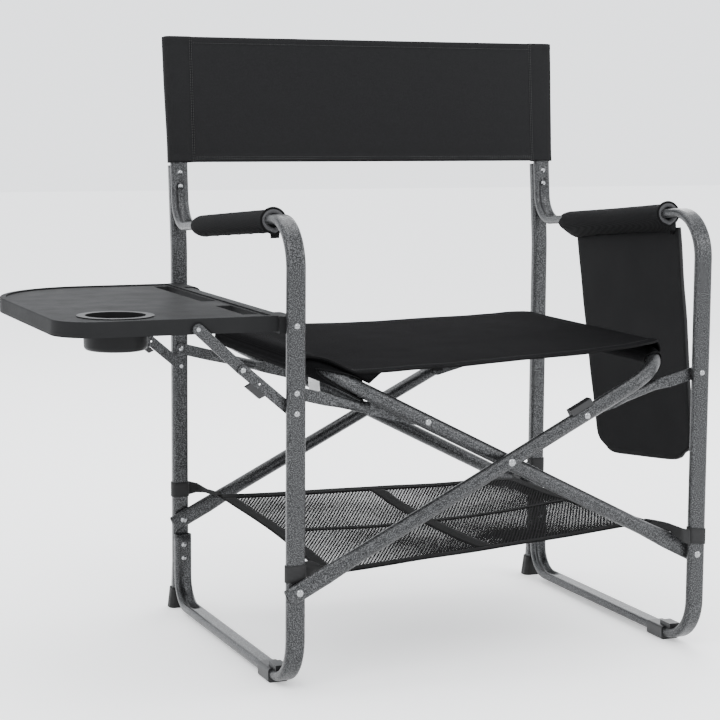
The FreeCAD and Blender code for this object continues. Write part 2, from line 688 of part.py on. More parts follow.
def strut_foot_rivets():
    """Pins through the leg and the post that the lower struts turn on."""
    x, z = STRUT_FOOT
    front = rivet_y(x, z, -LEG_FACE, STRUTS["front"][0][1] + 0.1).cut(
        block(x - 9, x + 9, STRUTS["front"][0][1] + 0.1, 30, z - 9, z + 9))
    rear = rivet_y(x, z, STRUTS["rear"][0][0] - 0.1, POST_BACK).cut(
        block(x - 9, x + 9, POST_FRONT - 30, STRUTS["rear"][0][0] - 0.1, z - 9, z + 9))
    return group([front, rear])


def elbow_rivet(end):
    (y0, y1), (y2, y3), out = STRUTS[end]
    x, z = STRUT_ELBOW
    low, high = min(y0, y2), max(y1, y3)
    return half_rivet(x, z, low, high, out)


def strut_head_rivet(end):
    """Pin set flush, so that it passes the lower strut when the table hangs down."""
    _, (y0, y1), _ = STRUTS[end]
    return Part.makeCylinder(PIN, y1 - y0, Vector(STRUT_HEAD[0], y0, STRUT_HEAD[1]), Y_AXIS)


def strut_catch(end):
    """Plastic catch turning on a pin in the lower strut's ear."""
    (y0, y1), _, out = STRUTS[end]
    thick = 8.0
    base_y = y0 - CLEAR if out < 0 else y1 + CLEAR
    corners = [strut_point(52, 8.4), strut_point(80, 8.4), strut_point(83, 17), strut_point(56, 17)]
    face = Part.Face(Part.makePolygon(corners + corners[:1]))
    face.translate(Y_AXIS * base_y)
    body = face.extrude(Y_AXIS * (out * thick))
    pin_at = strut_point(CATCH_ALONG, CATCH_BELOW)
    reach = y1 - y0 + CLEAR
    pin = Part.makeCylinder(CATCH_PIN, reach + 2, Vector(pin_at.x, base_y + out * 2, pin_at.z), Y_AXIS * -out)
    return body.fuse(pin)


# ---- soft parts ----
def arm_point(x, y):
    return Vector(x, y, ARM_FRONT_Z + ARM_SLOPE * y)


def arm_pad(side):
    """Foam sleeve round the arm tube."""
    x = side * HALF_WIDTH
    run = unit(Vector(0, 1, ARM_SLOPE))
    start = arm_point(x, PAD_FRONT_Y)
    length = (PAD_REAR_Y - PAD_FRONT_Y) / run.y
    body = placed(Part.Face(rounded_rect(PAD_WIDE, PAD_HIGH, 15)), start, X_AXIS, run).extrude(run * length)
    gap = 2 * CLEAR
    hole = Part.Face(rounded_rect(LOOP_WIDE + gap, LOOP_DEEP + gap, LOOP_CORNER + CLEAR))
    hole = placed(hole, start - run * 5, X_AXIS, run).extrude(run * (length + 10))
    return body.cut(hole)


def pocket_panel(x0, x1, inset, top_extra):
    """Slab with the pocket's outline: narrower at its foot, which runs parallel to the arm."""
    front_top = Vector(x0, POCKET_FRONT_TOP[0] + inset, POCKET_FRONT_TOP[1] + top_extra)
    front_low = Vector(x0, POCKET_FRONT_LOW[0] + inset, POCKET_FRONT_LOW[1] + inset)
    rear_low = Vector(x0, POCKET_REAR_LOW[0] - inset, POCKET_REAR_LOW[1] + inset)
    rear_top = Vector(x0, POCKET_REAR_TOP[0] - inset, POCKET_REAR_TOP[1] + top_extra)
    corners = [front_top, front_low, rear_low, rear_top, front_top]
    slab = Part.Face(Part.makePolygon(corners)).extrude(X_AXIS * (x1 - x0))
    low = [e for e in slab.Edges if e.BoundBox.XLength > x1 - x0 - 1 and e.BoundBox.ZMax < 400]
    return slab.makeFillet(22 - inset, low)


def pocket_side(x_top, x_low):
    """Everything outward of the sloping plane that passes through two values of x."""
    high = POCKET_FRONT_TOP[1]
    low = POCKET_REAR_LOW[1]
    slope = (x_low - x_top) / (high - low)
    profile = [Vector(x_top - 60 * slope, 0, high + 60), Vector(x_low + 60 * slope, 0, low - 60),
               Vector(600, 0, low - 60), Vector(600, 0, high + 60)]
    return Part.Face(Part.makePolygon(profile + profile[:1])).extrude(Y_AXIS * 600)


def pocket_layer(near, far, inset=0, top_extra=0):
    """The pocket's outline between two sloping planes, each given by its x at the mouth and foot."""
    slab = pocket_panel(POCKET_X - 1, POCKET_X + 28, inset, top_extra)
    return slab.common(pocket_side(*near)).cut(pocket_side(*far))


def pocket_planes():
    """Sloping planes of the pocket from its arm side outward: cloth, hollow and cloth again."""
    foot_out = 8.0
    mouth = 12.0
    foot = 27.0
    return [(POCKET_X, POCKET_X + foot_out),
            (POCKET_X + POCKET_CLOTH, POCKET_X + foot_out + POCKET_CLOTH),
            (POCKET_X + mouth - POCKET_CLOTH, POCKET_X + foot - POCKET_CLOTH),
            (POCKET_X + mouth, POCKET_X + foot)]


def pocket_inner_wall():
    """Cloth of the flat bag that hangs against the right arm."""
    planes = pocket_planes()
    return pocket_layer(planes[0], planes[1])


def pocket_outer_wall():
    """Cloth of the flat bag on its outer side, which stands further out at the foot."""
    planes = pocket_planes()
    return pocket_layer(planes[2], planes[3])


def pocket_edge():
    """Front, foot and rear of the bag, which is open along its top."""
    planes = pocket_planes()
    hollow = pocket_layer(planes[1], planes[2], POCKET_CLOTH, 10)
    return pocket_layer(planes[1], planes[2]).cut(hollow)


def back_sleeve(side):
    """Closed pocket of the back, pulled over the top of a side frame."""
    low = back_point(BACK_LOW_Z) + Vector(side * HALF_WIDTH, 0, 0)
    length = (BACK_HIGH_Z - BACK_LOW_Z) / LEAN_UP.z - 1.0
    body = placed(Part.Face(rounded_rect(SLEEVE_WIDE, SLEEVE_DEEP, 8)), low, X_AXIS, LEAN_UP)
    body = body.extrude(LEAN_UP * length)
    gap = 2 * CLEAR
    hole = Part.Face(rounded_rect(LOOP_WIDE + gap, LOOP_DEEP + gap, LOOP_CORNER + CLEAR))
    depth = (TUBE_TOP - BACK_LOW_Z) / LEAN_UP.z + 1.2
    hole = placed(hole, low - LEAN_UP * 5, X_AXIS, LEAN_UP).extrude(LEAN_UP * (depth + 5))
    return body.cut(hole)


def back_panel():
    """Fabric of the back between its two sleeves, level with their front."""
    half = HALF_WIDTH - SLEEVE_WIDE / 2 - CLEAR
    length = (BACK_HIGH_Z - BACK_LOW_Z) / LEAN_UP.z - 1.0
    low = back_point(BACK_LOW_Z, -SLEEVE_DEEP / 2)
    panel = Part.makeBox(2 * half, BACK_PANEL_THICK, length)
    panel = placed(panel, low - X_AXIS * half, X_AXIS, LEAN_UP)
    return panel


def seat_sleeve(rise):
    """Fabric tunnel of the seat on the straight of one rail."""
    front = BAR_MIDDLE_Y[rise] + BAR_BEND
    at = bar_point(rise, RAIL_REACH, front)
    length = POST_Y - 2 * BAR_BEND
    outer = Part.makeCylinder(BAR_RADIUS + SEAT_SLEEVE, length, at, Y_AXIS)
    return outer.cut(Part.makeCylinder(BAR_RADIUS + 0.05, length + 10, at - Y_AXIS * 5, Y_AXIS))


def seat_panel():
    """Sling of the seat between its sleeves."""
    rail_x = RAIL_REACH * math.cos(BAR_ANGLE)
    half = rail_x - BAR_RADIUS
    slab = block(-half, half, SEAT_FRONT_Y, SEAT_REAR_Y, SEAT_LOW_Z, SEAT_LOW_Z + SEAT_THICK)
    cuts = []
    for rise in (1, -1):
        section = Part.Face(oval(BAR_RADIUS + 0.6, BAR_RADIUS + 0.6))
        cuts.append(bent_bar(bar_path(rise), [BAR_BEND, BAR_BEND], section, bar_normal(rise)))
        at = bar_point(rise, RAIL_REACH, -50)
        cuts.append(Part.makeCylinder(BAR_RADIUS + SEAT_SLEEVE + 0.4, 700, at, Y_AXIS))
    return slab.cut(cuts).Solids[0]


def net_height(x, y):
    return NET_MID_Z + NET_RISE_X * x + NET_RISE_Y * (y - NET_FRONT_Y)


def storage_net():
    """Netting shelf under the seat."""
    corners = []
    for x, y in ((-1, 0), (1, 0), (1, 1), (-1, 1)):
        px = x * NET_HALF_WIDE
        py = NET_REAR_Y if y else NET_FRONT_Y
        corners.append(Vector(px, py, net_height(px, py)))
    face = Part.Face(Part.makePolygon(corners + corners[:1]))
    return face.extrude(Z_AXIS * NET_THICK)


def net_strap(x, y, wide, deep, corner, z):
    """Webbing loop round a leg or post."""
    gap = 0.1
    grow = gap + 2 * STRAP_THICK
    outer = Part.Face(rounded_rect(wide + grow, deep + grow, corner + grow / 2)).extrude(Z_AXIS * STRAP_HIGH)
    inner = Part.Face(rounded_rect(wide + gap, deep + gap, corner + gap / 2)).extrude(Z_AXIS * STRAP_HIGH)
    loop = outer.cut(inner)
    loop.translate(Vector(x, y, z))
    return loop


def net_straps(side):
    x = side * HALF_WIDTH
    front_z = 168.0
    rear_z = 188.0
    return group([net_strap(x, 0, LOOP_WIDE, LOOP_DEEP, LOOP_CORNER, front_z),
                  net_strap(x, POST_Y, POST_WIDE, POST_DEEP, POST_CORNER, rear_z)])


# ---- the whole chair ----
def build():
    nodes = {}
    for side, name in ((-1, "left"), (1, "right")):
        nodes[name + "_side_loop"] = side_loop(side)
        nodes[name + "_rear_post"] = rear_post(side)
        nodes[name + "_post_cap"] = post_cap(side)
        nodes[name + "_rear_foot"] = rear_foot(side)
        nodes[name + "_front_glide"] = front_glide(side)
        nodes[name + "_frame_rivets"] = frame_rivets(side)
        nodes[name + "_pivot_rivets"] = pivot_rivets(-side)
        nodes[name + "_pivot_washers"] = pivot_washers(-side)
        nodes[name + "_seat_bar"] = seat_bar(side)
        nodes[name + "_bar_link_rivets"] = link_rivets(side)
        nodes[name + "_arm_pad"] = arm_pad(side)
        nodes[name + "_back_sleeve"] = back_sleeve(side)
        nodes[name + "_seat_sleeve"] = seat_sleeve(side)
        nodes[name + "_net_straps"] = net_straps(side)
    nodes["crossing_rivets"] = crossing_rivets()
    nodes["crossing_washers"] = crossing_washers()
    nodes["fold_stop"] = fold_stop()
    front_plate = LEG_FACE + 0.5 + PLATE_THICK / 2
    rear_plate = POST_FRONT - 0.5 - PLATE_THICK / 2
    behind = BAR_RADIUS + 0.4 + PLATE_THICK / 2
    links = {
        "front_left": (-1, front_plate, BAR_STEP + behind, (15.5, 21.0), 85.0),
        "front_right": (1, front_plate, -BAR_STEP + behind, (15.5, 8.0), 60.0),
        "rear_left": (-1, rear_plate, POST_Y + BAR_STEP - behind, (532.5, 541.0), 60.0),
        "rear_right": (1, rear_plate, POST_Y - BAR_STEP - behind, (532.5, 516.0), 85.0)}
    for name, (side, frame_y, bar_y, rod_ys, bar_flat) in links.items():
        link = guide_link(side * HALF_WIDTH, side * LINK_END_X, frame_y, bar_y, rod_ys, bar_flat)
        nodes[name + "_guide_link"] = link
    nodes["side_table_tray"] = side_tray()
    nodes["cup_holder"] = cup_holder()
    nodes["tray_hinge_screws"] = tray_hinge_screws()
    nodes["strut_foot_rivets"] = strut_foot_rivets()
    for end in ("front", "rear"):
        nodes[end + "_lower_strut"] = lower_strut(end)
        nodes[end + "_upper_strut"] = upper_strut(end)
        nodes[end + "_elbow_rivet"] = elbow_rivet(end)
        nodes[end + "_strut_head_rivet"] = strut_head_rivet(end)
        nodes[end + "_strut_catch"] = strut_catch(end)
    nodes["side_pocket"] = pocket_outer_wall()
    nodes["side_pocket_inner_wall"] = pocket_inner_wall()
    nodes["side_pocket_edge"] = pocket_edge()
    nodes["back_panel"] = back_panel()
    nodes["seat_panel"] = seat_panel()
    nodes["storage_net"] = storage_net()
    return nodes


def footprint_middle(nodes):
    box = FreeCAD.BoundBox()
    for shape in nodes.values():
        box.add(shape.optimalBoundingBox(False, False))
    return Vector((box.XMin + box.XMax) / 2, (box.YMin + box.YMax) / 2, box.ZMin), box


nodes = build()
ORIGIN, whole = footprint_middle(nodes)
os.makedirs("parts", exist_ok=True)
for name, shape in nodes.items():
    shape.translate(ORIGIN * -1)
    shape.exportStep("parts/" + name + ".step")
print("origin", ORIGIN, "size", whole.XLength, whole.YLength, whole.ZLength, "nodes", len(nodes))
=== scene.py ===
import math

import bmesh
import bpy
import numpy as np
from mathutils import Matrix, Vector, noise


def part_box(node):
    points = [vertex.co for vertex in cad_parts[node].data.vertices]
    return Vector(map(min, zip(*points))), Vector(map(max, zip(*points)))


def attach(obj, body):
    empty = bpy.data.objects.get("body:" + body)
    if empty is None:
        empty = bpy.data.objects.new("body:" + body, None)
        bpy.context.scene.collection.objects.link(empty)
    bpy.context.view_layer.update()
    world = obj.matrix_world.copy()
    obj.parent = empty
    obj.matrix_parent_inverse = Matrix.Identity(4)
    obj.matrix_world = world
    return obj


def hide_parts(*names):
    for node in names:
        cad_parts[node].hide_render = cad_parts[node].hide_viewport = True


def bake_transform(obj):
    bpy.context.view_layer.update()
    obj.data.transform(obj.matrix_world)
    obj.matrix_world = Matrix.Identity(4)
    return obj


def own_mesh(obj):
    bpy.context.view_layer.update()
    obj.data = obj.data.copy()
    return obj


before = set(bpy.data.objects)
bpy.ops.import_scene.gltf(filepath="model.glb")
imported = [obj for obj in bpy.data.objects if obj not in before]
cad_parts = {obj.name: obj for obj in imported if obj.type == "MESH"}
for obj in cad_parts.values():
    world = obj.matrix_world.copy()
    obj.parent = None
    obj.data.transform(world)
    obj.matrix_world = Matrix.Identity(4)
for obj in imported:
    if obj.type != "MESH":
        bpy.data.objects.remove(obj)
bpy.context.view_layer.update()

MM = 0.001

# ---- sizes, in millimetres from the middle of the seat, the front legs and the floor ----
HALF_WIDTH = 328.0
POST_Y = 549.0
LEAN = math.radians(5.5)
TUBE_WIDE = 28.0
TUBE_DEEP = 14.0
TUBE_CORNER = 6.0
BORE_SHARE = 0.84            # inside of the tube's open end over its outside
GROOVE_DEPTH = 5.8           # pressed into the inner side of each bend
RISER_Y = 534.0
RAIL_Z = 12.5
LOOP_END_Z = 127.0
ARM_FRONT_Z = 679.0
ARM_REAR_Z = 633.0
ARM_REAR_Y = 537.5
TUBE_TOP = 930.0
CROSS_Z = 318.5
PIVOT_Z = 152.0
BAR_RADIUS = 11.0
BAR_STEP = 12.0
RAIL_REACH = 306.0
BAR_BEND = 85.0
PAD_FRONT_Y = 95.0
PAD_REAR_Y = 450.0
RIGHT_PAD_BACK = 14.0        # how far the right cover sits behind its foam's place
BACK_LOW_Z = 736.0
BACK_HIGH_Z = 937.0
SEAT_REAR_Y = 488.0

loop_low, loop_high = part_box("left_side_loop")
MIDDLE_X = (loop_low.x + loop_high.x) / 2 + HALF_WIDTH * MM
FRONT_Y = loop_low.y + TUBE_DEEP / 2 * MM
BAR_ANGLE = math.atan2(CROSS_Z - PIVOT_Z, HALF_WIDTH)
RAIL_X = RAIL_REACH * math.cos(BAR_ANGLE)
RAIL_TOP_Z = CROSS_Z + RAIL_REACH * math.sin(BAR_ANGLE)
LEAN_UP = Vector((0, math.sin(LEAN), math.cos(LEAN)))
LEAN_BACK = Vector((0, math.cos(LEAN), -math.sin(LEAN)))


def at(x, y, z):
    """A point of the chair, given in millimetres, in the frame's metres."""
    return Vector((MIDDLE_X + x * MM, FRONT_Y + y * MM, z * MM))


# ---- camera ----
CAMERA_AT = at(-1337, -2732, 856)
YAW = math.radians(24.09)
PITCH = math.radians(7.16)
ROLL = math.radians(0.62)


def make_camera():
    forward = Vector((math.sin(YAW) * math.cos(PITCH), math.cos(YAW) * math.cos(PITCH),
                      -math.sin(PITCH)))
    level = Vector((math.cos(YAW), -math.sin(YAW), 0))
    rise = level.cross(forward)
    right = level * math.cos(ROLL) + rise * math.sin(ROLL)
    up = rise * math.cos(ROLL) - level * math.sin(ROLL)
    data = bpy.data.cameras.new("camera")
    data.sensor_width = 36.0
    data.lens = 104.96
    data.shift_x = -0.104
    data.shift_y = -0.008
    camera = bpy.data.objects.new("camera", data)
    bpy.context.scene.collection.objects.link(camera)
    turn = Matrix((right, up, -forward)).transposed()
    camera.matrix_world = Matrix.Translation(CAMERA_AT) @ turn.to_4x4()
    bpy.context.scene.camera = camera


# ---- materials ----
class Shade:
    """A small helper that builds one Principled material from procedural nodes."""

    def __init__(self, name, color, roughness, metallic=0.0, specular=0.5):
        self.material = bpy.data.materials.new(name)
        self.material.use_nodes = True
        self.tree = self.material.node_tree
        self.shader = self.tree.nodes["Principled BSDF"]
        self.shader.inputs["Base Color"].default_value = (*color, 1)
        self.shader.inputs["Roughness"].default_value = roughness
        self.shader.inputs["Metallic"].default_value = metallic
        self.shader.inputs["Specular IOR Level"].default_value = specular
        self.place = self.tree.nodes.new("ShaderNodeTexCoord").outputs["Object"]

    def node(self, kind, links=(), **values):
        made = self.tree.nodes.new(kind)
        for key, value in values.items():
            setattr(made, key, value)
        for key, source in links:
            if hasattr(source, "is_output"):
                self.tree.links.new(source, made.inputs[key])
            else:
                made.inputs[key].default_value = source
        return made

    def math(self, operation, a, b=0.0):
        return self.node("ShaderNodeMath", [(0, a), (1, b)], operation=operation).outputs[0]

    def noise(self, scale, detail=3.0, roughness=0.6):
        links = [("Vector", self.place), ("Scale", scale), ("Detail", detail),
                 ("Roughness", roughness)]
        return self.node("ShaderNodeTexNoise", links).outputs["Fac"]

    def cells(self, scale, output="Distance", feature="F1"):
        links = [("Vector", self.place), ("Scale", scale)]
        return self.node("ShaderNodeTexVoronoi", links, feature=feature).outputs[output]

    def ramp(self, value, stops):
        made = self.node("ShaderNodeValToRGB", [("Fac", value)])
        ramp = made.color_ramp
        while len(ramp.elements) < len(stops):
            ramp.elements.new(0.5)
        for element, (spot, color) in zip(ramp.elements, stops):
            element.position = spot
            element.color = (*color, 1) if hasattr(color, "__len__") else (color, color, color, 1)
        return made.outputs["Color"]

    def mix(self, share, a, b):
        made = self.node("ShaderNodeMix", data_type="RGBA")
        for key, source in ((0, share), (6, a), (7, b)):
            if hasattr(source, "is_output"):
                self.tree.links.new(source, made.inputs[key])
            elif key == 0:
                made.inputs[key].default_value = source
            else:
                made.inputs[key].default_value = (*source, 1)
        return made.outputs[2]

    def set(self, socket, source):
        self.tree.links.new(source, self.shader.inputs[socket])

    def bump(self, height, strength, distance=0.001):
        links = [("Height", height), ("Strength", strength), ("Distance", distance)]
        self.set("Normal", self.node("ShaderNodeBump", links).outputs["Normal"])

    def stripes(self, axis, pitch):
        """A soft 0..1 wave along one direction, given as a vector, with the pitch in metres."""
        dot = self.node("ShaderNodeVectorMath", [(0, self.place), (1, axis)],
                        operation="DOT_PRODUCT")
        turn = self.math("MULTIPLY", dot.outputs["Value"], 2 * math.pi / pitch)
        return self.math("ADD", self.math("MULTIPLY", self.math("SINE", turn), 0.5), 0.5)


def hammertone():
    """Dark grey enamel with small bright dimples."""
    shade = Shade("hammertone_paint", (0.04, 0.041, 0.043), 0.3, metallic=0.6)
    fine = shade.noise(640, 2.0, 0.7)
    spots = shade.ramp(fine, [(0.47, 0.0), (0.60, 1.0)])
    broad = shade.ramp(shade.noise(9, 3.0), [(0.3, 0.25), (0.7, 0.75)])
    dull = shade.mix(broad, (0.0055, 0.0057, 0.006), (0.0105, 0.0108, 0.0113))
    shade.set("Base Color", shade.mix(spots, dull, (0.078, 0.0795, 0.082)))
    shade.set("Roughness", shade.ramp(shade.noise(300, 2.0), [(0.3, 0.26), (0.7, 0.44)]))
    shade.bump(fine, 0.35, 0.0006)
    return shade.material


def zinc():
    shade = Shade("zinc_plate", (0.75, 0.76, 0.77), 0.18, metallic=1.0)
    wear = shade.noise(900, 3.0)
    shade.set("Base Color", shade.ramp(wear, [(0.25, (0.08, 0.085, 0.09)),
                                              (0.62, (0.34, 0.345, 0.35))]))
    shade.set("Roughness", shade.ramp(wear, [(0.3, 0.12), (0.7, 0.3)]))
    return shade.material


def moulded(name, color, roughness, grain=1800, depth=0.12, shine=0.35):
    """Moulded plastic: fine grain, faint flow marks and slightly rubbed patches."""
    shade = Shade(name, color, roughness, specular=shine)
    rub = shade.ramp(shade.noise(14, 4.0), [(0.35, 0.0), (0.75, 1.0)])
    lighter = tuple(c * 1.15 + 0.0006 for c in color)
    shade.set("Base Color", shade.mix(rub, color, lighter))
    low = max(roughness - 0.03, 0.05)
    shade.set("Roughness", shade.ramp(shade.noise(22, 3.0), [(0.3, low), (0.7, roughness + 0.04)]))
    shade.bump(shade.noise(grain, 2.0), depth, 0.0004)
    return shade.material


def canvas(name, across, along, color=(0.0088, 0.0088, 0.0092), pitch=0.0016, shine=0.12):
    """Tight plain weave, with threads along two directions."""
    shade = Shade(name, color, 0.9, specular=shine)
    one = shade.stripes(across, pitch)
    two = shade.stripes(along, pitch)
    weave = shade.math("MULTIPLY", one, two)
    fleck = shade.noise(420, 4.0, 0.7)
    tone = shade.math("ADD", shade.math("MULTIPLY", weave, 0.55),
                      shade.math("MULTIPLY", fleck, 0.5))
    dark = tuple(c * 0.62 for c in color)
    light = tuple(c * 1.75 for c in color)
    shade.set("Base Color", shade.mix(shade.ramp(tone, [(0.2, 0.0), (0.85, 1.0)]), dark, light))
    shade.bump(tone, 0.55, 0.0005)
    return shade.material


def rubber():
    shade = Shade("black_rubber", (0.018, 0.018, 0.018), 0.6, specular=0.25)
    shade.set("Roughness", shade.ramp(shade.noise(60, 4.0), [(0.3, 0.5), (0.7, 0.75)]))
    dust = shade.ramp(shade.noise(25, 5.0), [(0.5, (0.005, 0.005, 0.005)),
                                             (0.8, (0.011, 0.0107, 0.0104))])
    shade.set("Base Color", dust)
    shade.bump(shade.noise(1400, 2.0), 0.25, 0.0004)
    return shade.material


def foam():
    shade = Shade("pad_foam", (0.05, 0.05, 0.052), 0.9, specular=0.1)
    pores = shade.cells(900)
    shade.set("Base Color", shade.ramp(pores, [(0.0, (0.018, 0.018, 0.018)),
                                               (0.5, (0.055, 0.055, 0.057))]))
    shade.bump(pores, 0.5, 0.0006)
    return shade.material


def webbing(name, axis, light=0.012, shine=0.3):
    shade = Shade(name, (0.022, 0.022, 0.023), 0.75, specular=shine)
    rib = shade.stripes(axis, 0.0018)
    rib_colors = [(0.1, (0.004, 0.004, 0.004)), (0.9, (light, light, light * 1.04))]
    shade.set("Base Color", shade.ramp(rib, rib_colors))
    shade.bump(rib, 0.6, 0.0005)
    return shade.material


def thread():
    shade = Shade("sewing_thread", (0.05, 0.05, 0.05), 0.6)
    shade.set("Base Color", shade.ramp(shade.noise(3000, 2.0), [(0.3, 0.007), (0.7, 0.018)]))
    return shade.material


def paper():
    shade = Shade("blank_tag", (0.75, 0.75, 0.74), 0.7)
    shade.set("Base Color", shade.ramp(shade.noise(500, 3.0), [(0.3, 0.62), (0.7, 0.8)]))
    return shade.material


AXIS_X = (1.0, 0.0, 0.0)
AXIS_Y = (0.0, 1.0, 0.0)
AXIS_Z = (0.0, 0.0, 1.0)
PAINT = hammertone()
ZINC = zinc()
PLASTIC = moulded("black_plastic", (0.008, 0.008, 0.0085), 0.42)
TRAY = moulded("tray_plastic", (0.0105, 0.0106, 0.0109), 0.56, shine=0.035)
CUP = moulded("cup_plastic", (0.0038, 0.0038, 0.004), 0.42, shine=0.12)
RUBBER = rubber()
FOAM = foam()
UPRIGHT_CLOTH = canvas("upright_cloth", AXIS_X, AXIS_Z)
# The seat cloth is the upright canvas with a darker base colour. This is painted shade, so the
# level seat, its web and the rail tunnels look no lighter than the upright cloth under the light
# from above.
LEVEL_CLOTH_PAINTED_SHADE = canvas("level_cloth_painted_shade", AXIS_X, AXIS_Y, color=(0.0052, 0.0052, 0.0055), shine=0.01)
SIDE_CLOTH = canvas("side_cloth", AXIS_Y, AXIS_Z)
PAD_CLOTH = canvas("pad_cloth", AXIS_Y, (0.7, 0.0, 0.7), color=(0.0085, 0.0085, 0.0088),
                   pitch=0.0014, shine=0.05)
BAND = webbing("webbing", AXIS_Z)
HEM = webbing("hem_tape", AXIS_X, light=0.006, shine=0.04)
THREAD = thread()
PAPER = paper()
MESH = moulded("mesh_strand", (0.004, 0.004, 0.0042), 0.7, shine=0.03)


# ---- mesh tools ----
def make_object(name, points, faces, material, smooth=True):
    mesh = bpy.data.meshes.new(name)
    mesh.from_pydata([tuple(p) for p in points], [], [tuple(f) for f in faces])
    mesh.validate()
    mesh.update()
    for polygon in mesh.polygons:
        polygon.use_smooth = smooth
    piece = bpy.data.objects.new(name, mesh)
    bpy.context.scene.collection.objects.link(piece)
    mesh.materials.append(material)
    return piece


def outward(piece):
    """Turns every face outwards."""
    work = bmesh.new()
    work.from_mesh(piece.data)
    bmesh.ops.recalc_face_normals(work, faces=work.faces)
    work.to_mesh(piece.data)
    work.free()
    piece.data.update()
    return piece


def joined(name, pieces):
    """One object from several meshes that share a body."""
    points, faces, slots, materials = [], [], [], []
    for piece in pieces:
        base = len(points)
        points += [v.co.copy() for v in piece.data.vertices]
        material = piece.data.materials[0]
        if material not in materials:
            materials.append(material)
        for polygon in piece.data.polygons:
            faces.append([base + i for i in polygon.vertices])
            slots.append((materials.index(material), polygon.use_smooth))
        bpy.data.objects.remove(piece)
    whole = make_object(name, points, faces, materials[0])
    for material in materials[1:]:
        whole.data.materials.append(material)
    for polygon, (index, smooth) in zip(whole.data.polygons, slots):
        polygon.material_index = index
        polygon.use_smooth = smooth
    return whole


def rings_to_mesh(name, rings, material, closed_ends=True, loop=False):
    """Skin over a list of equal rings of points; the ends are capped."""
    count = len(rings[0])
    points = [p for ring in rings for p in ring]
    faces = []
    spans = len(rings) if loop else len(rings) - 1
    for i in range(spans):
        a = i * count
        b = ((i + 1) % len(rings)) * count
        for j in range(count):
            k = (j + 1) % count
            faces.append((a + j, a + k, b + k, b + j))
    if closed_ends and not loop:
        faces.append(tuple(reversed(range(count))))
        faces.append(tuple(range((len(rings) - 1) * count, len(rings) * count)))
    return outward(make_object(name, points, faces, material))


def rounded_section(wide, deep, corner, flats=7, arcs=6):
    """Points (a, b) round a rounded rectangle."""
    points = []
    half_a = wide / 2 - corner
    half_b = deep / 2 - corner
    centres = [(half_a, half_b, 0), (-half_a, half_b, 90),
               (-half_a, -half_b, 180), (half_a, -half_b, 270)]
    for index, (ca, cb, start) in enumerate(centres):
        for step in range(arcs + 1):
            angle = math.radians(start + 90 * step / arcs)
            points.append((ca + corner * math.cos(angle), cb + corner * math.sin(angle)))
        next_a, next_b, next_start = centres[(index + 1) % 4]
        angle = math.radians(next_start)
        end = (next_a + corner * math.cos(angle), next_b + corner * math.sin(angle))
        last = points[-1]
        for step in range(1, flats):
            share = step / flats
            points.append((last[0] + (end[0] - last[0]) * share,
                           last[1] + (end[1] - last[1]) * share))
    return points


def smooth_step(value):
    value = min(max(value, 0.0), 1.0)
    return value * value * (3 - 2 * value)


def bent_path(points, radii, step=6.0, arc_step=0.09):
    """Stations (point, direction, distance) along straight runs joined by arcs, and the bends.

    Each bend is (distance at its start, distance at its end, axis)."""
    stations = []
    start = points[0]
    length = 0.0
    bends = []
    for i in range(1, len(points)):
        run = (points[i] - points[i - 1]).normalized()
        last = i == len(points) - 1
        cut = 0.0
        if not last:
            after = (points[i + 1] - points[i]).normalized()
            turn = run.angle(after)
            radius = radii[i - 1]
            cut = radius * math.tan(turn / 2)
        end = points[i] - run * cut
        span = (end - start).length
        count = max(int(span / step), 1)
        for k in range(count + (1 if last else 0)):
            stations.append([start + (end - start) * (k / count), run, length + span * k / count])
        length += span
        if last:
            break
        axis = run.cross(after).normalized()
        centre = end + axis.cross(run) * radius
        count = max(int(turn / arc_step), 2)
        for k in range(count):
            rotation = Matrix.Rotation(turn * k / count, 3, axis)
            place = length + radius * turn * k / count
            stations.append([centre + rotation @ (end - centre), rotation @ run, place])
        bends.append((length, length + radius * turn, axis))
        length += radius * turn
        start = points[i] + after * cut
    return stations, bends


def strength(place, low, high, fade):
    """1 between low and high, easing to 0 over `fade` outside."""
    return smooth_step((place - low + fade) / fade) * smooth_step((high + fade - place) / fade)


# ---- side frames ----
def side_loop(side, name, body):
    """The flat oval tube of a side frame, with the pressed groove inside each bend."""
    x = side * HALF_WIDTH
    top_y = ARM_REAR_Y + (TUBE_TOP - ARM_REAR_Z) * math.tan(LEAN)
    route = [(RISER_Y, LOOP_END_Z), (RISER_Y, RAIL_Z), (0, RAIL_Z), (0, ARM_FRONT_Z),
             (ARM_REAR_Y, ARM_REAR_Z), (top_y, TUBE_TOP)]
    path = [Vector((x, y, z)) for y, z in route]
    stations, bends = bent_path(path, [45, 68, 66, 45], step=12.0)
    section = rounded_section(TUBE_WIDE, TUBE_DEEP, TUBE_CORNER, flats=12)
    rings = []
    for point, run, place in stations:
        across = Vector((1, 0, 0))
        inward = across.cross(run)
        ring = []
        for a, b in section:
            depth = 0.0
            for low, high, axis in bends:
                press = strength(place, low - 14, high + 14, 22)
                sign = 1 if axis.cross(run).dot(inward) > 0 else -1
                if press > 0 and b * sign > 0:
                    shape = max(1 - (a / 9.5) ** 2, 0) ** 1.4 * min(b * sign / 5.0, 1)
                    depth = press * sign * GROOVE_DEPTH * shape
            ring.append(at(*(point + across * a + inward * (b - depth))))
        rings.append(ring)
    point, run, _ = stations[0]
    across = Vector((1, 0, 0)) * BORE_SHARE
    inward = across.cross(run)
    bore = [[at(*(point + run * deep + across * a + inward * b)) for a, b in section]
            for deep in (30, 0)]
    rings = bore + rings
    loop = rings_to_mesh(name, rings, PAINT)
    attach(loop, body)
    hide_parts(name.replace("_tube", ""))
    return loop


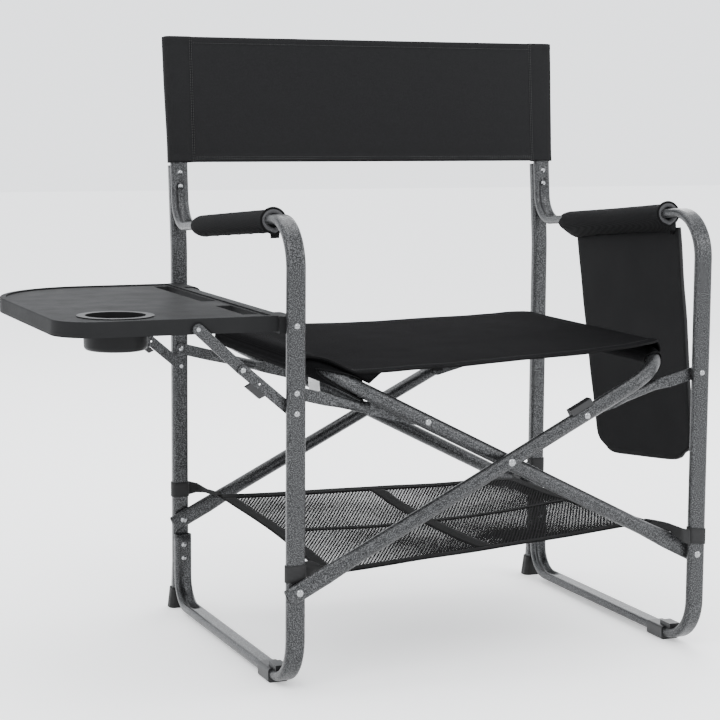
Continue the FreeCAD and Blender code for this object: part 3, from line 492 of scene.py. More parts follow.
# ---- cloth pieces ----
def slab(name, grid, thick, material):
    """A closed sheet from a grid of points in millimetres, with a thickness function."""
    rows = len(grid)
    columns = len(grid[0])
    array = np.array([[tuple(p) for p in row] for row in grid])
    du = np.gradient(array, axis=1)
    dv = np.gradient(array, axis=0)
    normal = np.cross(du, dv)
    normal /= np.maximum(np.linalg.norm(normal, axis=2, keepdims=True), 1e-9)
    depth = np.array([[thick(i / (rows - 1), j / (columns - 1)) for j in range(columns)]
                      for i in range(rows)])
    front = array + normal * depth[..., None] / 2
    back = array - normal * depth[..., None] / 2
    points = [at(*p) for p in front.reshape(-1, 3)] + [at(*p) for p in back.reshape(-1, 3)]
    total = rows * columns
    faces = []
    for i in range(rows - 1):
        for j in range(columns - 1):
            a = i * columns + j
            quad = (a, a + 1, a + columns + 1, a + columns)
            faces.append(quad)
            faces.append(tuple(total + k for k in reversed(quad)))
    rim = list(range(columns))
    rim += [i * columns + columns - 1 for i in range(1, rows)]
    rim += [(rows - 1) * columns + j for j in range(columns - 2, -1, -1)]
    rim += [i * columns for i in range(rows - 2, 0, -1)]
    for a, b in zip(rim, rim[1:] + rim[:1]):
        faces.append((b, a, total + a, total + b))
    piece = outward(make_object(name, points, faces, material))
    sharpen(piece)
    return piece


def sharpen(piece, degrees=50):
    """Keeps real corners crisp where faces are shaded smooth."""
    limit = math.radians(degrees)
    work = bmesh.new()
    work.from_mesh(piece.data)
    for edge in work.edges:
        if len(edge.link_faces) == 2 and edge.calc_face_angle(0) > limit:
            edge.smooth = False
    work.to_mesh(piece.data)
    work.free()


def tube(name, points, radius, material, sides=8, closed=False):
    """Round cord along a list of points in millimetres."""
    rings = []
    count = len(points)
    for i, p in enumerate(points):
        before = points[i - 1] if (i or closed) else p
        after = points[(i + 1) % count] if (i < count - 1 or closed) else p
        run = (after - before).normalized()
        side = run.cross(Vector((0.13, 0.27, 0.95))).normalized()
        other = run.cross(side)
        ring = []
        for k in range(sides):
            angle = 2 * math.pi * k / sides
            ring.append(at(*(p + side * radius * math.cos(angle)
                             + other * radius * math.sin(angle))))
        rings.append(ring)
    return rings_to_mesh(name, rings, material, loop=closed)


def along(points, pitch):
    """Even stations (point, direction) along a polyline in millimetres."""
    found = []
    carry = pitch / 2
    for a, b in zip(points, points[1:]):
        length = (b - a).length
        if length < 1e-6:
            continue
        run = (b - a) / length
        while carry <= length:
            found.append((a + run * carry, run))
            carry += pitch
        carry -= length
    return found


def stitches(name, lines, pitch=4.2, long=2.9, radius=0.42):
    """Rows of small raised stitches along lines of points."""
    points, faces = [], []
    for line in lines:
        for spot, run in along(line, pitch):
            side = run.cross(Vector((0.31, 0.22, 0.92))).normalized()
            other = run.cross(side)
            base = len(points)
            for offset, size in ((-0.5, 0.35), (-0.28, 1.0), (0.28, 1.0), (0.5, 0.35)):
                for k in range(5):
                    angle = 2 * math.pi * k / 5
                    arm = side * math.cos(angle) + other * math.sin(angle)
                    points.append(at(*(spot + run * offset * long + arm * radius * size)))
            for level in range(3):
                for k in range(5):
                    a = base + level * 5 + k
                    b = base + level * 5 + (k + 1) % 5
                    faces.append((a, b, b + 5, a + 5))
            faces.append(tuple(base + k for k in range(4, -1, -1)))
            faces.append(tuple(base + 15 + k for k in range(5)))
    return make_object(name, points, faces, THREAD)


def ripple(x, y, z, size, seed=0.0):
    """Smooth wrinkle height from -1 to 1 at a point in millimetres."""
    return noise.noise(Vector((x / size + seed, y / size - seed, z / size + 0.37 * seed)))


# ---- back ----
def back_at(x, height, off):
    """A point on the back: height along the posts, off behind the post's middle line."""
    y = ARM_REAR_Y + (height - ARM_REAR_Z) * math.tan(LEAN)
    p = Vector((x, y, height)) + LEAN_BACK * off
    return p


BACK_FRONT = -9.6
TUBE_INSIDE_X = 315           # the tunnel's back closes in from here to the seam


def back_half(height):
    """Half width of the back: a little wider at the top, where the hem stands out."""
    share = (height - BACK_LOW_Z) / (BACK_HIGH_Z - BACK_LOW_Z)
    return 346.0 + 3.0 * smooth_step(share)


def back_heights():
    low, high = BACK_LOW_Z, BACK_HIGH_Z
    steps = 56
    return [low + (high - low) * k / steps for k in range(steps + 1)]


def back_thick(share):
    """Cloth is doubled in the two hems."""
    hem = max(1 - smooth_step((share - 0.040) / 0.010), smooth_step((share - 0.945) / 0.010))
    return 1.5 + 1.5 * hem


def make_back():
    heights = back_heights()
    seam = 302.0
    columns = 140
    grid = []
    for h in heights:
        row = []
        for j in range(columns + 1):
            x = (seam + 3) * (2 * j / columns - 1)
            u = j / columns
            v = (h - BACK_LOW_Z) / (BACK_HIGH_Z - BACK_LOW_Z)
            belly = 3.2 * math.sin(math.pi * u) * math.sin(math.pi * v)
            fold = 0.7 * ripple(x, 0, h, 85, 3.1) + 0.35 * ripple(x, 0, h * 0.4, 28, 7.7)
            edge = min(u, 1 - u) * 12
            row.append(back_at(x, h, BACK_FRONT + belly + fold * min(edge, 1)))
        grid.append(row)
    panel = slab("back_cloth", grid, lambda v, u: back_thick(v), UPRIGHT_CLOTH)
    lines = []
    for h in (BACK_HIGH_Z - 10.0, BACK_LOW_Z + 8.0, BACK_LOW_Z + 5.0):
        belly = 3.2 * math.sin(math.pi * (h - BACK_LOW_Z) / 201)
        lines.append([back_at(-seam + 2 * seam * k / 60, h,
                              BACK_FRONT - 1.3 + belly * math.sin(math.pi * k / 60))
                      for k in range(61)])
    sewing = stitches("back_stitching", lines)
    panel = joined("back_cloth", [panel, sewing])
    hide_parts("back_panel")
    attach(panel, "left_frame")
    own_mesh(panel)
    for side, body, node in ((-1, "left_frame", "left_back_sleeve"),
                             (1, "right_frame", "right_back_sleeve")):
        make_back_sleeve(side, body, node, seam, heights)


def make_back_sleeve(side, body, node, seam, heights):
    """Cloth pocket round the top of a post, flush in front with the panel and sewn shut on top."""
    outer_rings, inner_rings = [], []
    steps = 44
    for h in heights:
        v = (h - BACK_LOW_Z) / (BACK_HIGH_Z - BACK_LOW_Z)
        edge = back_half(h)
        thick = back_thick(v) / 2
        front = BACK_FRONT - thick
        rear = 9.8 + 0.6 * v
        outer_ring, inner_ring = [], []
        for k in range(steps):
            angle = 2 * math.pi * k / steps
            c, s = math.cos(angle), math.sin(angle)
            ca = math.copysign(abs(c) ** 0.42, c)
            sb = math.copysign(abs(s) ** 0.55, s)
            for ring, skin in ((outer_ring, 0.0), (inner_ring, 1.3)):
                x = (edge + seam) / 2 + ((edge - seam) / 2 - skin) * ca
                inner_share = smooth_step((TUBE_INSIDE_X - x) / (TUBE_INSIDE_X - seam))
                back = (rear * (1 - 0.72 * inner_share) + front * 0.72 * inner_share)
                off = (front + back) / 2 - ((back - front) / 2 - skin) * sb
                wrinkle = 0.6 * ripple(x, 0, h, 45, 1.7 * side) * (1 if sb < 0 else 0.5)
                drift = 0.4 * ripple(0, x, h, 60, side)
                ring.append(at(*back_at(side * (x + drift), h, off + wrinkle)))
        outer_rings.append(outer_ring)
        inner_rings.append(inner_ring)
    inner_rings.pop()
    middle = at(*back_at(side * (back_half(BACK_HIGH_Z) + seam) / 2, BACK_HIGH_Z, -0.5))
    outer_rings.append([p.lerp(middle, 0.12) + LEAN_UP * 0.0008 for p in outer_rings[-1]])
    sleeve = rings_to_mesh(node + "_cloth", inner_rings[::-1] + outer_rings, UPRIGHT_CLOTH)
    sharpen(sleeve, 60)
    lines = []
    for inset in (2.0, 5.0):
        lines.append([back_at(side * (seam + inset), h, BACK_FRONT - 1.3) for h in heights])
    sewing = stitches(node + "_stitching", lines)
    sleeve = joined(node + "_cloth", [sleeve, sewing])
    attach(sleeve, body)
    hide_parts(node)


# ---- seat ----
BEND_LENGTH = BAR_BEND * math.pi / 2
STRAIGHT = POST_Y - 2 * BAR_BEND


def rail_frame(rise, s):
    """Middle of a seat rail and its outward direction, `s` from the start of the front bend."""
    front = -rise * BAR_STEP
    up = Vector((rise * math.cos(BAR_ANGLE), 0, math.sin(BAR_ANGLE)))
    along_y = front + BAR_BEND
    if s < 0:
        reach, y, out = RAIL_REACH - BAR_BEND + s, front, (0, -1)
    elif s < BEND_LENGTH:
        turn = s / BAR_BEND
        reach = RAIL_REACH - BAR_BEND + BAR_BEND * math.sin(turn)
        y = along_y - BAR_BEND * math.cos(turn)
        out = (math.sin(turn), -math.cos(turn))
    elif s < BEND_LENGTH + STRAIGHT:
        reach, y, out = RAIL_REACH, along_y + s - BEND_LENGTH, (1, 0)
    else:
        turn = (s - BEND_LENGTH - STRAIGHT) / BAR_BEND
        reach = RAIL_REACH - BAR_BEND + BAR_BEND * math.cos(turn)
        y = along_y + STRAIGHT + BAR_BEND * math.sin(turn)
        out = (math.cos(turn), math.sin(turn))
    middle = Vector((0, y, CROSS_Z)) + up * reach
    return middle, up * out[0] + Vector((0, out[1], 0))


# where the cloth tunnel of a rail starts, in degrees of the front bend, going round the rail
TUNNEL_CUT = [(0, 66), (35, 46), (90, 26), (180, 16), (265, 13), (305, 38), (335, 60), (360, 66)]
RIGHT_CUT = [(0, 68), (35, 62), (90, 56), (180, 64), (265, 72), (305, 74), (335, 70), (360, 68)]


def tunnel_point(rise, s, turn, radius):
    middle, outward_way = rail_frame(rise, s)
    normal = Vector((-rise * math.sin(BAR_ANGLE), 0, math.cos(BAR_ANGLE)))
    return middle + (outward_way * math.cos(turn) + normal * math.sin(turn)) * radius


def make_seat_tunnel(rise, body, node):
    """Cloth tunnel on one rail: cut slanting at the front, where the bar comes out of it."""
    steps, count = 60, 36
    cuts = RIGHT_CUT if rise > 0 else TUNNEL_CUT
    skins = []
    rim = []
    for skin in (0.0, 1.4):
        rings = []
        for i in range(steps + 1):
            ring = []
            for k in range(count):
                turn = 2 * math.pi * k / count
                degrees = math.degrees(turn)
                cut = float(np.interp(degrees, [c[0] for c in cuts], [c[1] for c in cuts]))
                first = math.radians(cut) * BAR_BEND
                edge_y = SEAT_REAR_Y - 3 - (4 if math.cos(turn) > 0.3 else 0)
                over = (edge_y - (-rise * BAR_STEP + BAR_BEND + STRAIGHT)) / BAR_BEND
                last = BEND_LENGTH + STRAIGHT + BAR_BEND * math.asin(max(over, 0.0))
                s = first + (last - first) * i / steps
                wrinkle = 0.5 * ripple(math.cos(turn) * 14, s, math.sin(turn) * 14, 24, 3.0 * rise)
                sagging = 1.2 * max(-math.sin(turn), 0) * math.sin(math.pi * i / steps)
                ring.append(tunnel_point(rise, s, turn,
                                         BAR_RADIUS + 2.3 - skin + wrinkle + sagging))
            rings.append(ring)
        if skin == 0.0:
            rim = rings[0]
        skins.append([[at(*p) for p in ring] for ring in rings])
    tunnel = rings_to_mesh(node + "_cloth", skins[0] + skins[1][::-1], LEVEL_CLOTH_PAINTED_SHADE, loop=True)
    edge = tube(node + "_edge", rim, 1.3, HEM, sides=8, closed=True)
    whole = joined(node + "_cloth", [tunnel, edge])
    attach(whole, body)
    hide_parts(node)


def seat_height(x, y):
    """Height of the seat cloth between the rails, a little higher to the back and the right."""
    front = float(np.interp(x, [-235, -108, 128, 247], [456.0, 460.5, 470.5, 480.0]))
    back = float(np.interp(x, [-250, 0, 250], [473.0, 472.0, 479.0]))
    return front + (back - front) * smooth_step(y / SEAT_REAR_Y)


LEFT_HEM = [(-287, 92), (-273, 74), (-268, 60), (-250, 31), (-223, 12), (-200, 4)]
RIGHT_HEM = [(196, 4), (224, 6), (244, 13), (260, 24), (274, 38), (287, 58)]
HEM_LINE = LEFT_HEM + RIGHT_HEM


def make_seat():
    """The sling: across between the rails and down over the outer side of each tunnel."""
    rail_z = RAIL_TOP_Z
    rows, turns, middle = 100, 14, 100
    inner = RAIL_X - 6
    hem_x = [p[0] for p in HEM_LINE]
    hem_y = [p[1] for p in HEM_LINE]
    grid = []
    for i in range(rows + 1):
        v = i / rows
        row = []
        for j in range(middle + 2 * turns + 1):
            k = j - turns
            if k < 0:
                side, turn = -1, math.radians(95 + 95 * -k / turns)
            elif k > middle:
                side, turn = 1, math.radians(85 - 95 * (k - middle) / turns)
            else:
                side, turn = 0, 0.0
            if side:
                swell = 8.0 * max(math.sin(turn), 0) if side > 0 else 2.0 * max(math.sin(turn), 0)
                radius = BAR_RADIUS + 4.2 + swell
                x = side * RAIL_X + radius * math.cos(turn)
            else:
                x = -inner + 2 * inner * k / middle
            first = float(np.interp(x, hem_x, hem_y))
            corner = smooth_step((abs(x) - 235) / 50)
            last = SEAT_REAR_Y - 8 * corner
            y = first + (last - first) * v
            if side:
                z = rail_z + radius * math.sin(turn)
            else:
                edge = (smooth_step((abs(x) - 205) / 60) if x > 0
                        else smooth_step((abs(x) - 225) / 45))
                top = rail_z + BAR_RADIUS + 4.2 + (8.0 if x > 0 else 2.0)
                z = (seat_height(x, y) * (1 - edge)
                     + max(seat_height(x, y) * 0.35 + top * 0.65, top) * edge)
                z += (1.3 * ripple(x, y, 0, 110, 5.0) + 0.5 * ripple(x, y, 0, 42, 2.0)) * (1 - edge)
                if x < 0:
                    z = min(z, max(top, seat_height(x, y)))
            row.append(Vector((x, y, z)))
        grid.append(row)

    def thick(v, u):
        hem = max(1 - smooth_step((v - 0.045) / 0.01), smooth_step((v - 0.955) / 0.01))
        return 1.6 + 1.6 * hem

    cloth = slab("seat_cloth", grid, thick, LEVEL_CLOTH_PAINTED_SHADE)
    lines = []
    for i in (5, 96):
        lines.append([p + Vector((0, 0, 1.0)) for p in grid[i][turns:-turns]])
    sewing = stitches("seat_stitching", lines)
    hem_bead = tube("seat_edge", grid[0], 1.7, HEM, sides=8)
    web_grid = [[], [], []]
    for k in range(13):
        x = -286 + 92 * k / 12
        y = float(np.interp(x, hem_x, hem_y)) + 3
        z = float(np.interp(x, [p.x for p in grid[0]][turns:-turns],
                            [p.z for p in grid[0]][turns:-turns]))
        top = Vector((x, y, z))
        low = tunnel_point(-1, 98 - 76 * k / 12, math.radians(100), BAR_RADIUS + 2.0)
        for row, share in zip(web_grid, (0.0, 0.5, 1.0)):
            row.append(top.lerp(low, share))
    web = slab("seat_web", web_grid, lambda a, b: 1.4, LEVEL_CLOTH_PAINTED_SHADE)
    cloth = joined("seat_cloth", [cloth, sewing, hem_bead, web])
    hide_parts("seat_panel")
    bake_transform(cloth)
    tab = slab("seat_tab", [[Vector((-116 + 16 * j / 3, 6.0, 463 - 8 * i / 3)) for j in range(4)]
                            for i in range(4)], lambda a, b: 1.0, HEM)
    return tab


# ---- net shelf ----
NET_CORNERS = {"front_left": (-280, 12, 168), "front_right": (276, 46, 197),
               "rear_left": (-276, 511, 193), "rear_right": (264, 500, 188)}


def net_at(u, v):
    """A point of the shelf: u from left to right, v from front to back, both 0..1."""
    names = ("front_left", "front_right", "rear_left", "rear_right")
    fl, fr, rl, rr = [Vector(NET_CORNERS[k]) for k in names]
    p = fl.lerp(fr, u).lerp(rl.lerp(rr, u), v)
    pull = math.sin(math.pi * u)
    rear_pull = math.sin(math.pi * v)
    inward_y = 9.0 * pull * (1 - 2 * v)
    inward_x = 8.0 * rear_pull * (1 - 2 * u)
    sag = -9.0 * pull * rear_pull - 4.0 * pull * (1 - v)
    wave = 1.6 * ripple(p.x, p.y, 0, 120, 4.0)
    return p + Vector((inward_x, inward_y, sag + wave))


def make_net():
    wide, deep = 536.0, 480.0
    hem = 22.0
    band = 12.0
    strips = []

    def strip(name, u0, u1, v0, v1, nu, nv):
        grid = []
        for i in range(nv + 1):
            v = v0 + (v1 - v0) * i / nv
            grid.append([net_at(u0 + (u1 - u0) * j / nu, v) for j in range(nu + 1)])
        strips.append(slab(name, grid, lambda a, b: 1.6, HEM))

    hu, hv = hem / wide, hem / deep
    strip("hem_front", 0, 1, 0, hv, 90, 4)
    strip("hem_rear", 0, 1, 1 - hv, 1, 90, 4)
    strip("hem_left", 0, hu, hv, 1 - hv, 4, 80)
    strip("hem_right", 1 - hu, 1, hv, 1 - hv, 4, 80)
    strip("band_middle", 0.5 - band / wide, 0.5 + band / wide, hv, 1 - hv, 4, 80)
    strip("band_across", hu, 1 - hu, 0.5 - 0.5 * band / deep, 0.5 + 0.5 * band / deep, 80, 3)
    strips.append(mesh_holes(wide, deep, hem))
    net = joined("net_shelf", strips)
    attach(net, "left_frame")
    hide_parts("storage_net")
    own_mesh(net)


def mesh_holes(wide, deep, hem):
    """Knitted mesh as a hexagonal lattice of thin flat strands, closed all round."""
    pitch = 5.6
    rows_apart = pitch * math.sqrt(3) / 2
    flat_points, index, cells = [], {}, []

    def vertex(x, y):
        key = (round(x * 50), round(y * 50))
        if key not in index:
            index[key] = len(flat_points)
            flat_points.append(net_at(min(max(x / wide, 0), 1), min(max(y / deep, 0), 1)))
        return index[key]

    outer = pitch / math.sqrt(3)
    inner = outer * 0.70
    for r in range(int((deep - 2 * hem) / rows_apart) + 2):
        for c in range(int((wide - 2 * hem) / pitch) + 2):
            cx = hem - 2 + c * pitch + (pitch / 2 if r % 2 else 0)
            cy = hem - 2 + r * rows_apart
            if cx > wide - hem + 2 or cy > deep - hem + 2:
                continue
            if abs(cx - wide / 2) < 9 or abs(cy - deep / 2) < 4:
                continue
            angles = [math.radians(60 * k + 30) for k in range(6)]
            out = [vertex(cx + outer * math.cos(a), cy + outer * math.sin(a)) for a in angles]
            hole = [vertex(cx + inner * math.cos(a), cy + inner * math.sin(a)) for a in angles]
            cells.append((out, hole))
    total = len(flat_points)
    lift = Vector((0, 0, 0.4))
    points = [at(*(p + lift)) for p in flat_points] + [at(*(p - lift)) for p in flat_points]
    faces, edges = [], {}
    for out, hole in cells:
        for k in range(6):
            m = (k + 1) % 6
            faces.append((out[k], out[m], hole[m], hole[k]))
            faces.append((total + hole[k], total + hole[m], total + out[m], total + out[k]))
            faces.append((hole[k], hole[m], total + hole[m], total + hole[k]))
            key = (min(out[k], out[m]), max(out[k], out[m]))
            edges[key] = None if key in edges else (out[k], out[m])
    for pair in edges.values():
        if pair:
            faces.append((pair[1], pair[0], total + pair[0], total + pair[1]))
    return make_object("net_mesh", points, faces, MESH)


# ---- arm pads ----
def pad_ring(side, s, around, shrink=0.0):
    """Points round the pad at share `s` of its length; the right one hangs down to its bag."""
    slope = (ARM_REAR_Z - ARM_FRONT_Z) / ARM_REAR_Y
    y = PAD_FRONT_Y + (PAD_REAR_Y - PAD_FRONT_Y) * s + (RIGHT_PAD_BACK if side > 0 else 0.0)
    rear = max(0.0, (s - 0.9) / 0.1)
    taper = math.sqrt(max(1 - rear ** 2, 0)) * 0.5 + 0.5
    middle = Vector((side * HALF_WIDTH, y, ARM_FRONT_Z + slope * y - 1.0))
    low = 30.0 + 3.0 * s if side > 0 else 21.0
    low_x = 15.0 if side > 0 else 2.0
    ring = []
    for k in range(around):
        angle = 2 * math.pi * k / around
        c, q = math.cos(angle), math.sin(angle)
        main = Vector((20.0 * c, 19.0 * q))
        tip = Vector((low_x, -low + 4.0)) + Vector((4.0 * c, 4.0 * q))
        round_reach = math.hypot(20.0 * c, 19.0 * q)
        tip_reach = c * low_x - q * (low - 4.0) + 4.0
        point = main if round_reach >= tip_reach else tip
        point = point * taper
        point = point - point.normalized() * shrink
        ring.append(Vector((middle.x + point.x, y + 0.09 * point.y, middle.z + point.y)))
    return ring


def swell(piece, hold, cap):
    """Cloth simulation of a padded cover; points that `hold` accepts stay where they are."""
    remesh = piece.modifiers.new("fine", "REMESH")
    remesh.mode = "VOXEL"
    remesh.voxel_size = 0.0045
    bpy.context.view_layer.objects.active = piece
    piece.select_set(True)
    bpy.ops.object.modifier_apply(modifier="fine")
    start = [v.co.copy() for v in piece.data.vertices]
    group = piece.vertex_groups.new(name="held")
    group.add([i for i, p in enumerate(start) if hold(p)], 1.0, "REPLACE")
    cloth = piece.modifiers.new("cloth", "CLOTH")
    cloth.settings.use_pressure = True
    cloth.settings.uniform_pressure_force = 4.0
    cloth.settings.quality = 5
    cloth.settings.mass = 0.3
    cloth.settings.tension_stiffness = 20
    cloth.settings.compression_stiffness = 20
    cloth.settings.bending_stiffness = 1.5
    cloth.settings.vertex_group_mass = "held"
    cloth.settings.effector_weights.gravity = 0.0
    cloth.collision_settings.use_collision = False
    cloth.point_cache.frame_start = 1
    cloth.point_cache.frame_end = 20
    scene = bpy.context.scene
    for index in range(1, 21):
        scene.frame_set(index)
    shape = piece.evaluated_get(bpy.context.evaluated_depsgraph_get()).to_mesh()
    moved = [v.co.copy() for v in shape.vertices]
    piece.modifiers.remove(cloth)
    piece.vertex_groups.clear()
    scene.frame_set(1)
    for vertex, origin, end in zip(piece.data.vertices, start, moved):
        step = end - origin
        if step.length > cap:
            step = step.normalized() * cap
        vertex.co = origin + step
    fine = piece.modifiers.new("smooth", "SUBSURF")
    fine.levels = 1
    fine.render_levels = 1
    bpy.ops.object.modifier_apply(modifier="smooth")
    piece.select_set(False)
    for polygon in piece.data.polygons:
        polygon.use_smooth = True


def make_pad(side, body, node):
    """Foam sleeve in a cloth cover, its front end open round the tube."""
    around = 40
    shares = [k / 56 for k in range(57)]
    name = node + "_cover"
    rings = [[at(*p) for p in pad_ring(side, s, around, 2.4)]
             for s in shares]
    front_y = PAD_FRONT_Y + (RIGHT_PAD_BACK if side > 0 else 0.0)
    centre = at(side * HALF_WIDTH, front_y, ARM_FRONT_Z - 0.085 * PAD_FRONT_Y - 1)
    lip = []
    for scale, back in ((0.95, -1.6), (0.89, 0.2), (0.86, 3.0)):
        lip.append([centre + (p - centre) * scale + Vector((0, back * MM, 0)) for p in rings[0]])
    lip = [[centre + (p - centre) * 0.9 + Vector((0, 0.5 * MM, 0)) for p in rings[0]]]
    cover = rings_to_mesh(name, lip[::-1] + rings, PAD_CLOTH)
    face = centre.y + 0.006
    swell(cover, lambda p: p.y < face, 0.0028)
    round_middle = at(-HALF_WIDTH, PAD_FRONT_Y, ARM_FRONT_Z - 0.085 * PAD_FRONT_Y - 1)
    rim = [centre + (at(*q) - round_middle) * 0.93 for q in pad_ring(-1, 0.0, around)]
    rim = [Vector(((p.x - MIDDLE_X) / MM, (p.y - FRONT_Y) / MM - 1.2, p.z / MM)) for p in rim]
    bead = tube(node + "_edge", rim, 1.9, HEM, sides=10, closed=True)
    core_rings = []
    for scale, back in ((0.50, 3.0), (0.52, -2.4), (0.70, -3.4), (0.86, -2.2), (0.88, 4.0)):
        base = [at(*q) for q in pad_ring(-1, 0.0, around)]
        middle = at(-HALF_WIDTH, PAD_FRONT_Y, ARM_FRONT_Z - 0.085 * PAD_FRONT_Y - 1)
        core_rings.append([centre + (p - middle) * scale + Vector((0, back * MM, 0)) for p in base])
    core = rings_to_mesh(node + "_core", core_rings, FOAM)
    pad = joined(name, [cover, bead, core])
    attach(pad, body)
    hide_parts(node)


# ---- side pocket ----
POCKET = {"front_top": (108, 648), "front_low": (60, 285),
          "rear_low": (357, 255), "rear_top": (440, 618)}


def pocket_cloth(name, x_top, x_low, belly, thick_mm):
    rows, columns = 40, 40
    ft, fl, rl, rt = [Vector((*POCKET[k], 0))
                      for k in ("front_top", "front_low", "rear_low", "rear_top")]
    grid = []
    for i in range(rows + 1):
        v = i / rows
        row = []
        for j in range(columns + 1):
            u = j / columns
            top = ft.lerp(rt, u)
            low = fl.lerp(rl, u)
            p = top.lerp(low, v)
            round_off = 26.0 * max(0, (v - 0.90) / 0.10) ** 2
            pull = round_off * (1 - 2 * u) * (abs(1 - 2 * u) ** 3)
            rise = 10.0 * max(0, (v - 0.94) / 0.06) * (abs(1 - 2 * u) ** 6)
            waist = 5.0 * math.sin(math.pi * v) * (1 - 2 * u) * -0.4
            bulge = (belly * math.sin(math.pi * min(max(v, 0), 1)) ** 0.6
                     * math.sin(math.pi * u) ** 0.5)
            x = x_top + (x_low - x_top) * v + bulge + 1.4 * ripple(0, p.x, p.y, 70, 6.0)
            row.append(Vector((x, p.x + pull + waist, p.y + rise)))
        grid.append(row)
    return slab(name, grid, lambda a, b: thick_mm, SIDE_CLOTH), grid


def make_pocket():
    back, back_grid = pocket_cloth("pocket_back", 344.8, 352.0, 0.0, 1.4)
    front, front_grid = pocket_cloth("pocket_front", 351.0, 358.0, 10.0, 1.4)
    border, front_border = [
        [row[0] for row in grid] + grid[-1][1:-1] + [row[-1] for row in grid][::-1]
        for grid in (back_grid, front_grid)]
    seam = [(a + b) / 2 for a, b in zip(border, front_border)]
    piping = tube("pocket_piping", seam, 2.6, BAND, sides=8)
    gusset_grid = [border, seam, front_border]
    gusset = slab("pocket_gusset", gusset_grid, lambda a, b: 1.2, SIDE_CLOTH)
    pocket = joined("side_pocket_cloth", [back, front, gusset, piping])
    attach(pocket, "right_frame")
    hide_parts("side_pocket", "side_pocket_inner_wall", "side_pocket_edge")


# ---- straps ----
def strap_loop(x, y, wide, deep, corner, z, tilt):
    """A closed band round a leg, its inner face on the tube."""
    inner = rounded_section(wide + 0.5, deep + 0.5, corner + 0.2, flats=4, arcs=4)
    outer = rounded_section(wide + 3.0, deep + 3.0, corner + 1.4, flats=4, arcs=4)
    rings = []
    levels = [(inner, -12.0), (outer, -12.0), (outer, -6.0), (outer, 0.0), (outer, 6.0)]
    for shape, up in levels + [(outer, 12.0), (inner, 12.0)]:
        rings.append([at(x + a, y + b, z + up + tilt * a) for a, b in shape])
    return rings_to_mesh("strap_loop", rings, BAND, loop=True)


def strap_tail(points):
    """Flat webbing along (middle point, width, lean of its face in degrees)."""
    fine = []
    for (p, wide, lean), (q, next_wide, next_lean) in zip(points, points[1:]):
        for k in range(6):
            t = k / 6
            here = Vector(p).lerp(Vector(q), t)
            fine.append((here, wide + (next_wide - wide) * t, lean + (next_lean - lean) * t))
    last = points[-1]
    fine.append((Vector(last[0]), last[1], last[2]))
    grid = []
    for p, wide, lean in fine:
        up = Vector((0, math.sin(math.radians(lean)), math.cos(math.radians(lean))))
        pleat = Vector((0, 1.2 * ripple(p.x, p.y, p.z, 12, 8.0), 0))
        grid.append([p + up * wide * (k / 6 - 0.5) + pleat * math.sin(k) for k in range(7)])
    return slab("strap_tail", grid, lambda a, b: 1.6, BAND)


STRAP_TAILS = {
    -1: [[((-314, 3, 180), 24, 0), ((-305, 4, 181), 23, -10), ((-294, 8, 180), 19, -35),
          ((-276, 16, 172), 20, -75)],
         [((-315, 553, 200), 24, 0), ((-298, 553, 199), 16, -10), ((-288, 530, 197), 9, -40),
          ((-272, 509, 193), 20, -80)]],
    1: [[((313, -8, 180), 24, 0), ((301, -7, 184), 22, 10), ((292, 20, 192), 15, 30),
         ((272, 52, 197), 20, 80)],
        [((315, 541, 200), 24, 0), ((300, 530, 198), 17, 15), ((284, 516, 193), 10, 40),
         ((262, 498, 188), 20, 80)]]}


def make_straps(side, body, node):
    """Webbing loops round the leg and the post, and their tails to the corners of the shelf."""
    x = side * HALF_WIDTH
    front_z = 177.0 if side < 0 else 181.0
    tilt = 0.05 if side < 0 else -0.13
    bands = [strap_loop(x, 0, TUBE_WIDE, TUBE_DEEP, TUBE_CORNER, front_z, tilt),
             strap_loop(x, POST_Y, 26.0, 16.0, 5.0, 200.0, 0.0)]
    bands += [strap_tail(points) for points in STRAP_TAILS[side]]
    straps = joined(node + "_webbing", bands)
    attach(straps, body)
    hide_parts(node)


# ---- small soft extras ----
def make_tags(tab):
    """Blank care tag under the left of the seat and a short tab under its front hem."""
    tag_grid = []
    for i in range(7):
        z = 444.0 - 27.0 * i / 6
        tag_grid.append([Vector((-263 + 17 * j / 4, 120 + 3 * math.sin(i * 0.6), z))
                         for j in range(5)])
    tag = slab("care_tag", tag_grid, lambda a, b: 0.4, PAPER)
    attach(tag, "left_bar")
    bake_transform(tab)
    for side, body in ((-1, "left_frame"), (1, "right_frame")):
        x = side * HALF_WIDTH
        grid = []
        drop = 12.0 if side < 0 else 10.0
        for i in range(6):
            z = ARM_FRONT_Z - 0.085 * PAD_FRONT_Y - (19 if side < 0 else 28) - drop * i / 5 + 4
            left = x + (8 if side > 0 else -2)
            front = PAD_FRONT_Y + (20 if side > 0 else 6)
            grid.append([Vector((left + 14 * j / 4, front + 1.5 * math.sin(i + j), z))
                         for j in range(5)])
        flap = slab("pad_flap_left" if side < 0 else "pad_flap_right", grid, lambda a, b: 1.2, HEM)
        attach(flap, body)


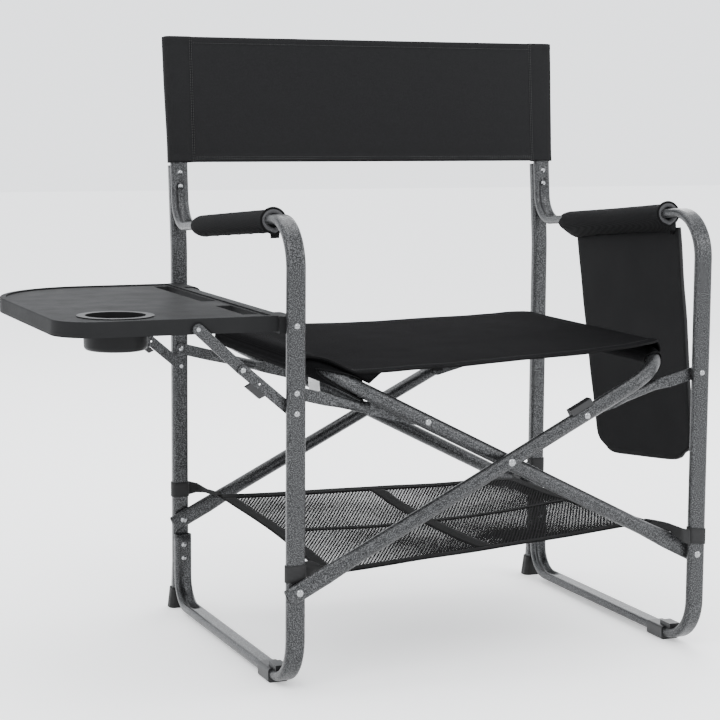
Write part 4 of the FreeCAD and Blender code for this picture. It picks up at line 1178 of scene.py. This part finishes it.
# ---- floor and light ----
def make_stage():
    floor_mesh = bpy.data.meshes.new("floor")
    reach = 14.0
    floor_mesh.from_pydata([(-reach, -reach, 0), (reach, -reach, 0), (reach, reach, 0),
                            (-reach, reach, 0)], [], [(0, 1, 2, 3)])
    floor = bpy.data.objects.new("floor", floor_mesh)
    bpy.context.scene.collection.objects.link(floor)
    shade = Shade("pale_floor", (0.95, 0.95, 0.95), 0.9, specular=0.1)
    shade.set("Roughness", shade.ramp(shade.noise(3, 2.0), [(0.3, 0.86), (0.7, 0.94)]))
    shade.shader.inputs["Emission Color"].default_value = (1, 1, 1, 1)
    shade.shader.inputs["Emission Strength"].default_value = 0.35
    floor_mesh.materials.append(shade.material)
    world = bpy.data.worlds.new("studio")
    bpy.context.scene.world = world
    world.use_nodes = True
    world.node_tree.nodes["Background"].inputs[0].default_value = (0.95, 0.97, 1.0, 1)
    world.node_tree.nodes["Background"].inputs[1].default_value = 2.3
    lamps = [("key", (-1.9, -2.6, 3.0), 2.2, 90), ("fill", (2.6, -2.2, 2.0), 2.0, 45),
             ("top", (0.2, 0.6, 3.4), 2.6, 60), ("rim", (1.8, 2.6, 2.2), 1.6, 35)]
    for name, place, size, power in lamps:
        data = bpy.data.lights.new(name, "AREA")
        data.size = size
        data.energy = power
        lamp = bpy.data.objects.new(name, data)
        bpy.context.scene.collection.objects.link(lamp)
        lamp.location = place
        aim = Vector((0, 0, 0.45)) - Vector(place)
        lamp.rotation_euler = aim.to_track_quat("-Z", "Y").to_euler()


# ---- materials on the CAD nodes that stay ----
def dress_nodes():
    for name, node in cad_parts.items():
        material = PAINT
        if "rivet" in name or "screw" in name:
            material = ZINC
        elif ("washer" in name or "cap" in name or "glide" in name or "catch" in name
              or name == "fold_stop"):
            material = PLASTIC
        elif name.endswith("rear_foot"):
            material = RUBBER
        elif name == "side_table_tray":
            material = TRAY
        elif name == "cup_holder":
            material = CUP
        node.data.materials.clear()
        node.data.materials.append(material)
        node.data.shade_smooth()
        sharpen(node, 38)


make_camera()
dress_nodes()
side_loop(-1, "left_side_loop_tube", "left_frame")
side_loop(1, "right_side_loop_tube", "right_frame")
make_back()
make_seat_tunnel(-1, "left_bar", "left_seat_sleeve")
make_seat_tunnel(1, "right_bar", "right_seat_sleeve")
SEAT_TAB = make_seat()
make_net()
make_pad(-1, "left_frame", "left_arm_pad")
make_pad(1, "right_frame", "right_arm_pad")
make_pocket()
make_straps(-1, "left_frame", "left_net_straps")
make_straps(1, "right_frame", "right_net_straps")
make_tags(SEAT_TAB)
make_stage()
